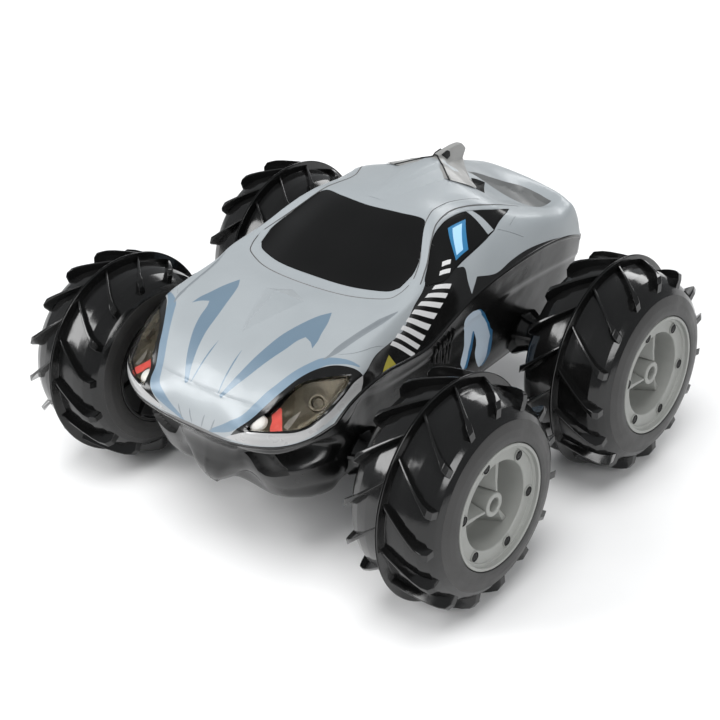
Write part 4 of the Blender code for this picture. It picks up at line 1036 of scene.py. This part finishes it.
def edge_point(place):
    """The shell's lower edge: 0 at the middle of the nose, 5 to 20 down the left side, 25 at the tail's middle."""
    if place <= 5:
        return SHELL.base([0.0], [place])[0]
    if place < 20:
        return SHELL.base([place - 5.0], [5.0])[0]
    return SHELL.base([15.0], [25.0 - place])[0]


def hull_grid():
    """Whole rows of the hull, from the left edge round the keel to the right edge, in metres."""
    stations = [(place, row) for place, row in BOW]
    for k, (deck, upper, lower, bilge, keel) in enumerate(STERN_NET):
        middle = tuple((a + b) / 2 for a, b in zip(upper, lower))
        round_over = tuple((a + b) / 2 + c for a, b, c in zip(lower, bilge, (2.4, 0, -2.4)))
        stations.append((k + 6, [deck, upper, middle, lower, round_over, bilge, keel]))
    rows = []
    for place, row in stations:
        here = edge_point(place)
        run = edge_point(min(place + 0.3, 25)) - edge_point(max(place - 0.3, 0))
        run /= np.linalg.norm(run)
        down = run * run[2] - np.array((0, 0, 1))
        half = [here + down / np.linalg.norm(down) * SEAM] + [np.array(p) * MM for p in row]
        rows.append(half + [p * (-1, 1, 1) for p in half[-2::-1]])
    return np.array(rows)


# Bow stations: the place along the shell's edge, then points from under the lip down to the keel
BOW = [
    (0, [(0, -127.5, 79), (0, -125.5, 74.5), (0, -125, 70), (0, -126.2, 65), (0, -128, 58.5), (0, -126, 51),
         (0, -121.4, 45.2)]),
    (0.5, [(10.5, -127.4, 79.3), (10.2, -125, 74.8), (10.2, -124.4, 70.3), (9.6, -125.2, 65), (8.2, -126.5, 58.5),
           (4.5, -124.6, 51), (0, -118, 44.8)]),
    (1, [(20.5, -127.2, 79.6), (20, -123.8, 75.2), (19.4, -122.8, 71.2), (17.6, -123.2, 66), (14.2, -122.6, 59.5),
         (9, -119.4, 51.8), (0, -115.5, 44.4)]),
    (1.15, [(23.6, -127, 79.8), (22.9, -122, 75.4), (22.6, -120.8, 71.5), (22.6, -120.2, 66.5), (21.4, -118.4, 60),
            (16.5, -113.6, 53.4), (0, -112.5, 44.2)]),
    (1.5, [(31, -127, 81), (29.5, -116.5, 76.8), (31, -117.6, 71.5), (31.6, -119, 65), (31.6, -118.6, 59),
           (30.2, -114, 46.8), (0, -109.5, 44)]),
    (2, [(41, -126.2, 82.5), (37, -112.5, 78.2), (41, -118.2, 70.6), (42, -118.6, 66), (41.2, -117, 56),
         (38, -112.4, 46.2), (0, -106, 43.8)]),
    (2.5, [(50, -123.3, 83.5), (44.5, -108.5, 79), (49, -116, 70.4), (49.6, -116.2, 66), (48.4, -113.4, 56),
           (44, -107.6, 45.6), (0, -100.5, 43.5)]),
    (3, [(56.5, -118.5, 85), (51.5, -103.5, 79.4), (55.2, -109.6, 70.6), (55.8, -109.6, 66.4), (54.4, -106.6, 56.4),
         (48.6, -102, 45), (0, -95, 43.2)]),
    (4, [(65, -109, 88.5), (60.5, -97, 79.5), (61.6, -98.2, 71), (61.4, -98, 67), (60, -96.4, 56), (50.5, -94.2, 44.5),
         (0, -88, 42.8)]),
    (5, [(69, -97, 91), (65, -89, 77.5), (62, -88.5, 70), (61.4, -88.2, 66), (60.5, -88, 56), (48, -86, 44),
         (0, -79, 42.2)]),
]
RAILS = 8
DOOR_LOW, DOOR_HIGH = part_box("battery_door")
SWITCH_LOW, SWITCH_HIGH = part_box("power_switch")
VENT = [(-17, 94.6), (1, 99), (-0.7, 76.2), (-15.3, 84.7)]
SPLASH = [(10, 99), (17, 101), (24, 97.6), (33, 84), (37, 74), (35, 62), (29.7, 56.4), (24, 66), (24, 78), (20, 86),
          (18, 74), (14, 64), (11, 69), (13, 80), (12, 90)]


# The air intake in the bow: a pit painted near-black, painted shade standing in for the hole.
INTAKE = np.array([(3.1, 2.75), (4.8, 2.42), (6.0, 3.05), (6.05, 3.95), (4.3, 4.55), (3.85, 4.4)])


def hull_relief(skin, u, v):
    """Flat belly, a step along the sides and the plain surface elsewhere."""
    low = np.minimum(v, 2 * (RAILS - 1) - v)
    step = ramp(low, 1.16, 1.3) * ramp(u, 8.0, 10.0) * (1 - ramp(u, 25.0, 27.0))
    slot = pit(u, low, INTAKE, 0.12)
    return -0.8 * MM * step - 3.0 * MM * slot


HULL = Skin(hull_grid(), 0, hull_relief, 1)
KEEL = RAILS - 1


def on_side(points, side):
    """(u, v) on the hull's side for points given as (y, z) in millimetres."""
    us, vs = np.linspace(9, 23, 281), np.linspace(0, 5, 201)
    grid = np.array([(a, b) for a in us for b in vs])
    at = HULL.base(grid[:, 0], grid[:, 1])[:, 1:] / MM
    found = [grid[np.argmin(((at - p) ** 2).sum(1))] for p in np.array(points, float)]
    return np.array([(u, v if side > 0 else 2 * KEEL - v) for u, v in found])


SWITCH_TRAVEL = 4 * MM


def in_box(points, low, high, spare):
    return ((points[:, 0] > low.x - spare) & (points[:, 0] < high.x + spare) & (points[:, 1] > low.y - spare)
            & (points[:, 1] < high.y + spare) & (points[:, 2] < 0.06))


def make_hull():
    stations = HULL.grid.shape[0] - 1
    splash = [(on_side(spline(SPLASH, 3, True), side), 1) for _, side in SIDES]
    halo_points = [(y + 2.6, z - 0.8) for y, z in SPLASH]
    halo = [(on_side(spline(halo_points, 3, True), side), 2) for _, side in SIDES]
    painted = halo + splash
    # The intake mouths are painted shade.
    for mouth in (INTAKE, INTAKE * (1, -1) + (0, 2 * KEEL)):
        painted.append((mouth, 3))

    def keep(centres):
        points = HULL.base(centres[:, 0], centres[:, 1])
        bay = in_box(points, DOOR_LOW, DOOR_HIGH, 1.2 * MM)
        slot = in_box(points, SWITCH_LOW, SWITCH_HIGH + Vector((0, SWITCH_TRAVEL, 0)), 1.2 * MM)
        return ~(bay | slot)

    mesh = skin_mesh("hull", HULL, (0, stations, 0, 2 * KEEL), (220, 150), closed_lines([p for p, _ in painted]),
                     keep, painted)
    clean(mesh)
    hull = add_piece("lower_hull_look", mesh, (HULL_BLACK, PRINT_PALE, PRINT_BLUE, GAP_SHADE_BLACK), "chassis",
                     38, WALL)
    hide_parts("lower_hull")


PRINT_PALE = make_finish("print_pale", ((0.52, 0.62, 0.72), (0.58, 0.68, 0.78)), (0.3, 0.4))


def tube_along(name, path, radius, squeeze=1.0, sides=10, closed=False):
    """A round bead along a path of points in metres."""
    count = len(path)
    bm = bmesh.new()
    rings = []
    for k in range(count):
        before = path[k - 1] if closed or k else path[k]
        after = path[(k + 1) % count] if closed or k < count - 1 else path[k]
        run = Vector(after) - Vector(before)
        run.normalize()
        across = run.cross(Vector((0, 0, 1))).normalized()
        up = across.cross(run)
        rings.append([bm.verts.new(Vector(path[k]) + across * radius * squeeze * math.cos(t)
                                   + up * radius * math.sin(t))
                      for t in (2 * math.pi * s / sides for s in range(sides))])
    pairs = zip(rings, rings[1:] + ([rings[0]] if closed else []))
    for a, b in pairs:
        for s in range(sides):
            m = (s + 1) % sides
            bm.faces.new((a[s], a[m], b[m], b[s]))
    if not closed:
        bm.faces.new(rings[0])
        bm.faces.new(rings[-1][::-1])
    return from_bmesh(name, bm)


BEAD_PULL = 0.992


def make_bead():
    """The rounded flange along the parting line, from one side of the nose round the tail to the other."""
    places = np.linspace(0, 25, 321)
    left = [edge_point(p) * (1, BEAD_PULL, 1) + np.array((0, 0, -0.75 * MM)) for p in places]
    loop = left + [p * (-1, 1, 1) for p in left[-2:0:-1]]
    mesh = tube_along("bead", loop, 1.15 * MM, 0.8, 12, True)
    add_piece("hull_flange", mesh, (HULL_BLACK,), "chassis", 60)


def box_shape(low, high, name="box"):
    """A box as a loft between its two ends along X."""
    (x0, y0, z0), (x1, y1, z1) = low, high
    return loft(name, [[(x, y0, z0), (x, y1, z0), (x, y1, z1), (x, y0, z1)] for x in (x0, x1)])


def make_vents():
    """Ribs on each side, ahead of the wheel gap."""
    for word, side in SIDES:
        pieces = []
        for k in range(6):
            t = (k + 0.5) / 6
            top = np.array(VENT[0]) * (1 - t) + np.array(VENT[1]) * t
            low = np.array(VENT[3]) * (1 - t) + np.array(VENT[2]) * t
            line = on_side([top * (1 - s) + low * s for s in np.linspace(0, 1, 9)], side)
            points = HULL.points(line, 0.5 * MM)
            pieces.append((tube_along("rib", [tuple(p) for p in points], 0.85 * MM, 1.0, 8), Matrix()))
        add_piece(f"side_vent_{word}", joined("vent", pieces), (HULL_BLACK,), "chassis", 50)


def make_axle_tubes():
    """The hull's tubes round the axles, with a flared root and ribs."""
    profile = rounded([(0, 5.2), (27.0, 5.2), (27.0, 8.0), (25.5, 8.2), (25.5, 7.5), (9, 8.4), (4, 10.5), (0, 15.0)], 3, 0.6)
    for word, side in SIDES:
        for end, y in (("front", -AXLE_Y), ("rear", AXLE_Y)):
            place = Matrix.Translation((side * 57 * MM, y, AXLE_Z)) @ Matrix.Rotation(side * math.pi / 2, 4, "Y")
            pieces = [(turned("tube", profile, 64), Matrix())]
            for k in range(6):
                rib = loft("rib", [[(r0 * MM, -0.8 * MM, a * MM), (r1 * MM, -0.8 * MM, a * MM),
                                    (r1 * MM, 0.8 * MM, a * MM), (r0 * MM, 0.8 * MM, a * MM)]
                                   for a, r0, r1 in ((0.5, 8, 15), (8, 7.4, 11), (20, 7.2, 8.2))])
                pieces.append((rib, Matrix.Rotation(k * math.pi / 3 + 0.3, 4, "Z")))
            tube = add_piece(f"axle_tube_{end}_{word}", joined("tube", pieces), (HULL_BLACK,), "chassis",
                             35)
            tube.matrix_world = place


def frame_ring(name, low, high, width, z0, z1, corner=2.5 * MM):
    """A flat frame round a rectangular opening."""
    def loop(grow, z):
        points = []
        for sx, sy, turn in ((1, 1, 0), (-1, 1, 90), (-1, -1, 180), (1, -1, 270)):
            radius = corner + grow
            cx = (high[0] - corner if sx > 0 else low[0] + corner)
            cy = (high[1] - corner if sy > 0 else low[1] + corner)
            for step in range(7):
                t = math.radians(turn + 15 * step)
                points.append((cx + radius * math.cos(t), cy + radius * math.sin(t), z))
        return points
    loops = [loop(0, z1), loop(0, z0), loop(width, z0), loop(width, z1)]
    bm = bmesh.new()
    rings = [[bm.verts.new(p) for p in points] for points in loops]
    for a, b in zip(rings, rings[1:] + rings[:1]):
        for k in range(len(a)):
            m = (k + 1) % len(a)
            bm.faces.new((a[k], a[m], b[m], b[k]))
    return from_bmesh(name, bm)


def make_belly():
    """The door's frame, the stand pad, the switch bezel and screws under the hull."""
    z = DOOR_LOW.z
    ring = frame_ring("bay", (DOOR_LOW.x - 0.35 * MM, DOOR_LOW.y - 1.7 * MM), (DOOR_HIGH.x + 0.35 * MM, DOOR_HIGH.y + 0.35 * MM),
                      4.6 * MM, z, z + 6 * MM, 0.6 * MM)
    frame_piece = add_piece("battery_bay_frame", ring, (HULL_BLACK,), "chassis")
    add_bevel(frame_piece, 0.4 * MM)
    pad_low, pad_high = (-24 * MM, -64 * MM, 40.2 * MM), (24 * MM, -41.5 * MM, 46.5 * MM)
    pad = add_piece("stand_pad_look", box_shape(pad_low, pad_high), (HULL_BLACK,), "chassis")
    add_bevel(pad, 0.8 * MM, 3)
    bezel = frame_ring("bezel", (-2.6 * MM, SWITCH_LOW.y - 0.4 * MM), (2.6 * MM, SWITCH_HIGH.y + 4.6 * MM), 2.2 * MM,
                       41.6 * MM, 48 * MM, 0.5 * MM)
    add_bevel(add_piece("switch_bezel", bezel, (HULL_BLACK,), "chassis"), 0.3 * MM)
    spots = [(sx * x, y) for sx in (-1, 1) for x, y in ((40, -60), (40, 52), (30, 92), (34, -92))]
    screws = []
    for x, y in spots:
        down = Matrix.Translation((x * MM, y * MM, belly_height(x, y))) @ Matrix.Rotation(math.pi, 4, "X")
        screws.append((pan_screw(2.6, 1.0), down @ Matrix.Rotation(0.05 * x, 4, "Z")))
    add_piece("hull_screws", joined("screws", screws), (SCREW, GAP_SHADE_BLACK), "chassis")


def belly_height(x, y):
    """Height of the hull's underside over a spot, in metres."""
    us, vs = np.linspace(2, HULL.grid.shape[0] - 3, 200), np.linspace(3, 2 * KEEL - 3, 120)
    grid = np.array([(a, b) for a in us for b in vs])
    at = HULL.base(grid[:, 0], grid[:, 1])
    near = ((at[:, :2] - np.array((x, y)) * MM) ** 2).sum(1) + (at[:, 2] > 0.062)
    return float(at[np.argmin(near), 2]) + 0.1 * MM


def make_door_details():
    """Grip ribs on the door, a grip on the latch and ribs on the switch's knob, which move with the door, the latch and
    the switch.
    """
    z = DOOR_LOW.z
    ribs = []
    for k in range(5):
        y = -18 * MM + k * 7 * MM
        ribs.append((box_shape((-22 * MM, y, z - 0.5 * MM), (22 * MM, y + 1.6 * MM, z + 0.4 * MM)), Matrix()))
    piece = add_piece("door_ribs", joined("ribs", ribs), (HULL_BLACK,), "door")
    add_bevel(piece, 0.35 * MM, 2)
    latch_low, latch_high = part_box("door_latch")
    cx, cy = (latch_low.x + latch_high.x) / 2, (latch_low.y + latch_high.y) / 2
    bar = box_shape((cx - 2.3 * MM, cy - 0.6 * MM, latch_low.z - 0.6 * MM), (cx + 2.3 * MM, cy + 0.6 * MM, latch_low.z + 0.3 * MM))
    add_bevel(add_piece("latch_grip", bar, (RIM,), "latch"), 0.25 * MM, 2)
    knob_ribs = []
    for k in range(4):
        y = SWITCH_LOW.y + (0.9 + k * 1.0) * MM
        knob_ribs.append((box_shape((SWITCH_LOW.x + 0.4 * MM, y, SWITCH_LOW.z - 0.35 * MM),
                                    (SWITCH_HIGH.x - 0.4 * MM, y + 0.45 * MM, SWITCH_LOW.z + 0.2 * MM)), Matrix()))
    add_piece("switch_ribs", joined("ribs", knob_ribs), (RUBBER,), "switch")


# ---------------------------------------------------------------- roof scoop and tail fin

SCOOP_PROFILE = [(0, 1.0), (0.12, 0.985), (0.24, 0.93), (0.28, 0.88), (0.42, 0.50), (0.46, 0.46), (0.7, 0.26), (1.0, -0.06)]


def scoop_rows():
    rows = []
    xs, hs = np.array(SCOOP_PROFILE).T
    for t in np.linspace(0, 1, 40):
        u = 9.25 + (11.62 - 9.25) * t
        rise = (0.25 + 3.9 * t ** 0.8) * MM
        half = 0.42 + 0.62 * t
        shares = np.concatenate([-xs[:0:-1], xs])
        lifts = np.concatenate([hs[:0:-1], hs])
        base = SHELL.base(np.full(len(shares), u), shares * half)
        rows.append([tuple(p + np.array((0, 0.0, 1)) * h * rise) for p, h in zip(base, lifts)])
    return rows


def sheet(name, rows):
    """A surface through rows of points, facing up."""
    bm = bmesh.new()
    verts = [[bm.verts.new(p) for p in row] for row in rows]
    for a, b in zip(verts, verts[1:]):
        for k in range(len(a) - 1):
            bm.faces.new((a[k], a[k + 1], b[k + 1], b[k]))
    mesh = bpy.data.meshes.new(name)
    bm.to_mesh(mesh)
    bm.free()
    return mesh


# Fin stations from the seam to the rear edge: the crest, the ledge half way down and the foot, on the left side
FIN_STATIONS = [
    [(1.6, 73.2, 155.0), (8.0, 69.0, 152.6), (19.6, 60.0, 149.8)],
    [(2.2, 76.4, 155.2), (7.0, 74.6, 150.8), (28.5, 63.6, 147.6)],
    [(2.1, 82.0, 155.4), (5.6, 80.0, 149.2), (32.6, 67.4, 145.0)],
    [(1.9, 88.5, 155.4), (4.4, 84.5, 147.6), (25.5, 72.1, 146.0)],
    [(1.6, 95.0, 154.2), (3.2, 89.5, 146.0), (16.6, 79.5, 146.6)],
    [(1.3, 98.8, 150.6), (1.7, 96.0, 143.9), (2.0, 95.6, 143.3)],
]
FIN_LIFT = 0.7


def roof_height(points):
    """Height of the roof's skin under each (x, y), all in millimetres."""
    us, vs = np.linspace(10, 14.5, 181), np.linspace(0, 3, 101)
    grid = np.array([(a, b) for a in us for b in vs])
    at = SHELL.base(grid[:, 0], grid[:, 1]) / MM
    return np.array([at[np.argmin(((at[:, :2] - p) ** 2).sum(1)), 2] for p in points])


def fin_rows():
    stations = spline(np.array(FIN_STATIONS).reshape(len(FIN_STATIONS), 9), 6).reshape(-1, 3, 3)
    rows = []
    for crest, ledge, foot in stations:
        skirt = [ledge + (foot - ledge) * t for t in (0.25, 0.5, 0.75, 1.0)]
        half = np.array([crest * (0, 1, 1), crest * (0.6, 1, 1), crest - (0, 0, 0.6), crest + (0.15, 0, -1.3),
                         ledge + (-0.5, 0, 0.5), ledge, *skirt])
        half[5:, 2] = np.maximum(half[5:, 2], roof_height(half[5:, :2]) + FIN_LIFT)
        rows.append([tuple(p * MM) for p in np.vstack([half[:0:-1] * (-1, 1, 1), half])])
    return rows


def close_ends(name, rows):
    """A sheet with its first and last rows closed by a face, which makes a thick-looking end."""
    mesh = sheet(name, rows)
    bm = bmesh.new()
    bm.from_mesh(mesh)
    bm.verts.ensure_lookup_table()
    across = len(rows[0])
    for first in (0, (len(rows) - 1) * across):
        bm.faces.new([bm.verts[first + k] for k in range(across)])
    return from_bmesh(name, bm)


def make_roof():
    scoop = add_piece("roof_scoop_look", close_ends("scoop", scoop_rows()), (SILVER,), "chassis", 24)
    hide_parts("roof_scoop")
    fin_shape = fin_rows()
    fin = add_piece("tail_fin_look", close_ends("fin", fin_shape), (FIN_GREY,), "chassis", 24)
    # A near-black bead along the fin's front seam: painted shade in the gap.
    add_piece("fin_seam", tube_along("seam", fin_shape[0], 0.45 * MM, 1.0, 8), (GAP_SHADE_BLACK,), "chassis")
    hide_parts("tail_fin")
    # Small near-black patches for the ports near the fin's crest: painted shade standing in for the holes.
    ports = []
    for _, side in SIDES:
        corners = [(side * 2.6, 76.0, 154.9), (side * 2.5, 81.0, 155.4), (side * 2.9, 82.6, 154.0), (side * 3.8, 81.4, 152.0),
                   (side * 5.2, 77.4, 152.2)]
        centre = np.mean(corners, axis=0)
        loops = [[tuple((centre + (np.array(c) - centre) * grow + np.array((side * out, 0, out * 0.4))) * MM) for c in corners]
                 for grow, out in ((1.0, -1.2), (1.0, 0.12), (0.9, 0.2))]
        ports.append((loft("port", loops), Matrix()))
    add_piece("fin_ports", joined("ports", ports), (GAP_SHADE_BLACK,), "chassis")


FIN_GREY = make_finish("fin_grey", ((0.235, 0.235, 0.23), (0.27, 0.27, 0.262)), (0.36, 0.45), 0.1, 0.2,
                       ((2400, 0.000012),))


# ---------------------------------------------------------------- headlights

ACCENT = outline([(2.3, 2.12), (2.24, 2.54), (1.95, 2.72), (1.66, 2.84), (1.4, 2.88), (1.14, 2.9)],
                 [(1.14, 2.9), (1.14, 2.56)], [(1.14, 2.56), (1.4, 2.5), (1.7, 2.46), (2.0, 2.3), (2.3, 2.12)])
STREAK = outline([(1.98, 3.34), (1.66, 3.06), (1.38, 2.92)], [(1.38, 2.92), (1.18, 3.06)],
                 [(1.18, 3.06), (1.44, 3.2), (1.7, 3.3), (1.98, 3.34)])
LAMP_AT, RING_AT = (1.6, 2.06), (2.24, 3.66)


def make_headlights():
    """The reflector bowl with its painted shapes, the lamp and the ring behind each lens."""
    for word, flip in (("left", np.array), ("right", flipped)):
        loop = flip(LENS)
        low, high = loop.min(axis=0) - 0.05, loop.max(axis=0) + 0.05
        centre = flip(np.array([(2.0, 3.1)]))[0]

        def bowl_depth(skin, u, v, centre=centre):
            far = np.hypot((u - centre[0]) / 1.2, (v - centre[1]) / 1.3)
            return -(2.6 + 2.6 * (1 - ramp(far, 0.0, 1.0))) * MM

        bowl_skin = Skin(SHELL.grid, 5, bowl_depth, 1)
        shapes = [(flip(ACCENT), 1), (flip(STREAK), 2)]
        mesh = skin_mesh("bowl", bowl_skin, (low[0], high[0], low[1], high[1]), (44, 40),
                         closed_lines([shape for shape, _ in shapes] + [loop]),
                         lambda centres, loop=loop: inside(centres, loop), shapes)
        bowl = add_piece(f"headlight_bowl_{word}_look", mesh, (BOWL, ACCENT_RED, CHROME), "chassis", 40,
                         0.8 * MM)
        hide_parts(f"headlight_bowl_{word}")
        bulb = turned("bulb", [(2.0, 0.01), (1.9, 1.4), (1.6, 2.8), (1.0, 3.9), (0.2, 4.6), (-0.5, 4.8), (-0.5, 0.01)], 40)
        ring = turned("ring", [(0, 4.6), (1.0, 4.4), (1.0, 3.4), (0, 2.6), (-0.5, 2.4), (-0.5, 4.6)], 48)
        for name, mesh, spot, mat, slot in (("lamp", bulb, LAMP_AT, LAMP_WHITE, "lamp_white"),
                                            ("ring", ring, RING_AT, BOWL, "lamp_reflector")):
            spot = flip(np.array([spot]))
            at, up = bowl_skin.points(spot, 0.2 * MM)[0], SHELL.normal(spot[:, 0], spot[:, 1])[0]
            turn = Vector(up).to_track_quat("Z", "Y").to_matrix().to_4x4()
            piece = add_piece(f"headlight_{name}_{word}", mesh, (mat,), "chassis", 50)
            piece.matrix_world = Matrix.Translation(at) @ turn


BOWL = make_finish("bowl_brown", ((0.05, 0.044, 0.03), (0.09, 0.078, 0.055)), (0.2, 0.34), 0.35, bumps=((160, 0.0002),))


# ---------------------------------------------------------------- finishes of the CAD nodes that stay

NODE_LOOKS = (("axle_bush_", BRONZE), ("motor_pinion_", BRONZE), ("motor_", STEEL), ("axle_shaft_", STEEL),
              ("battery_pack", WRAP), ("control_board", BOARD), ("battery_seal", RUBBER), ("power_switch", RUBBER),
              ("battery_door", HULL_BLACK), ("door_latch", RIM), ("switch_housing", BLACK), ("", NYLON))


def finish_nodes():
    """Looks for the pieces whose shape comes from the CAD."""
    for name, obj in NODES.items():
        if not obj.hide_render:
            look = next(look for start, look in NODE_LOOKS if name.startswith(start))
            for slot in obj.material_slots:
                slot.material = look


make_camera()
make_lights()
make_stage()
for WORD, SIDE_SIGN in SIDES:
    for END in ENDS:
        make_wheel(SIDE_SIGN, END)
make_shell()
make_panes()
make_hull()
make_bead()
make_vents()
make_axle_tubes()
make_belly()
make_door_details()
make_roof()
make_headlights()
finish_nodes()
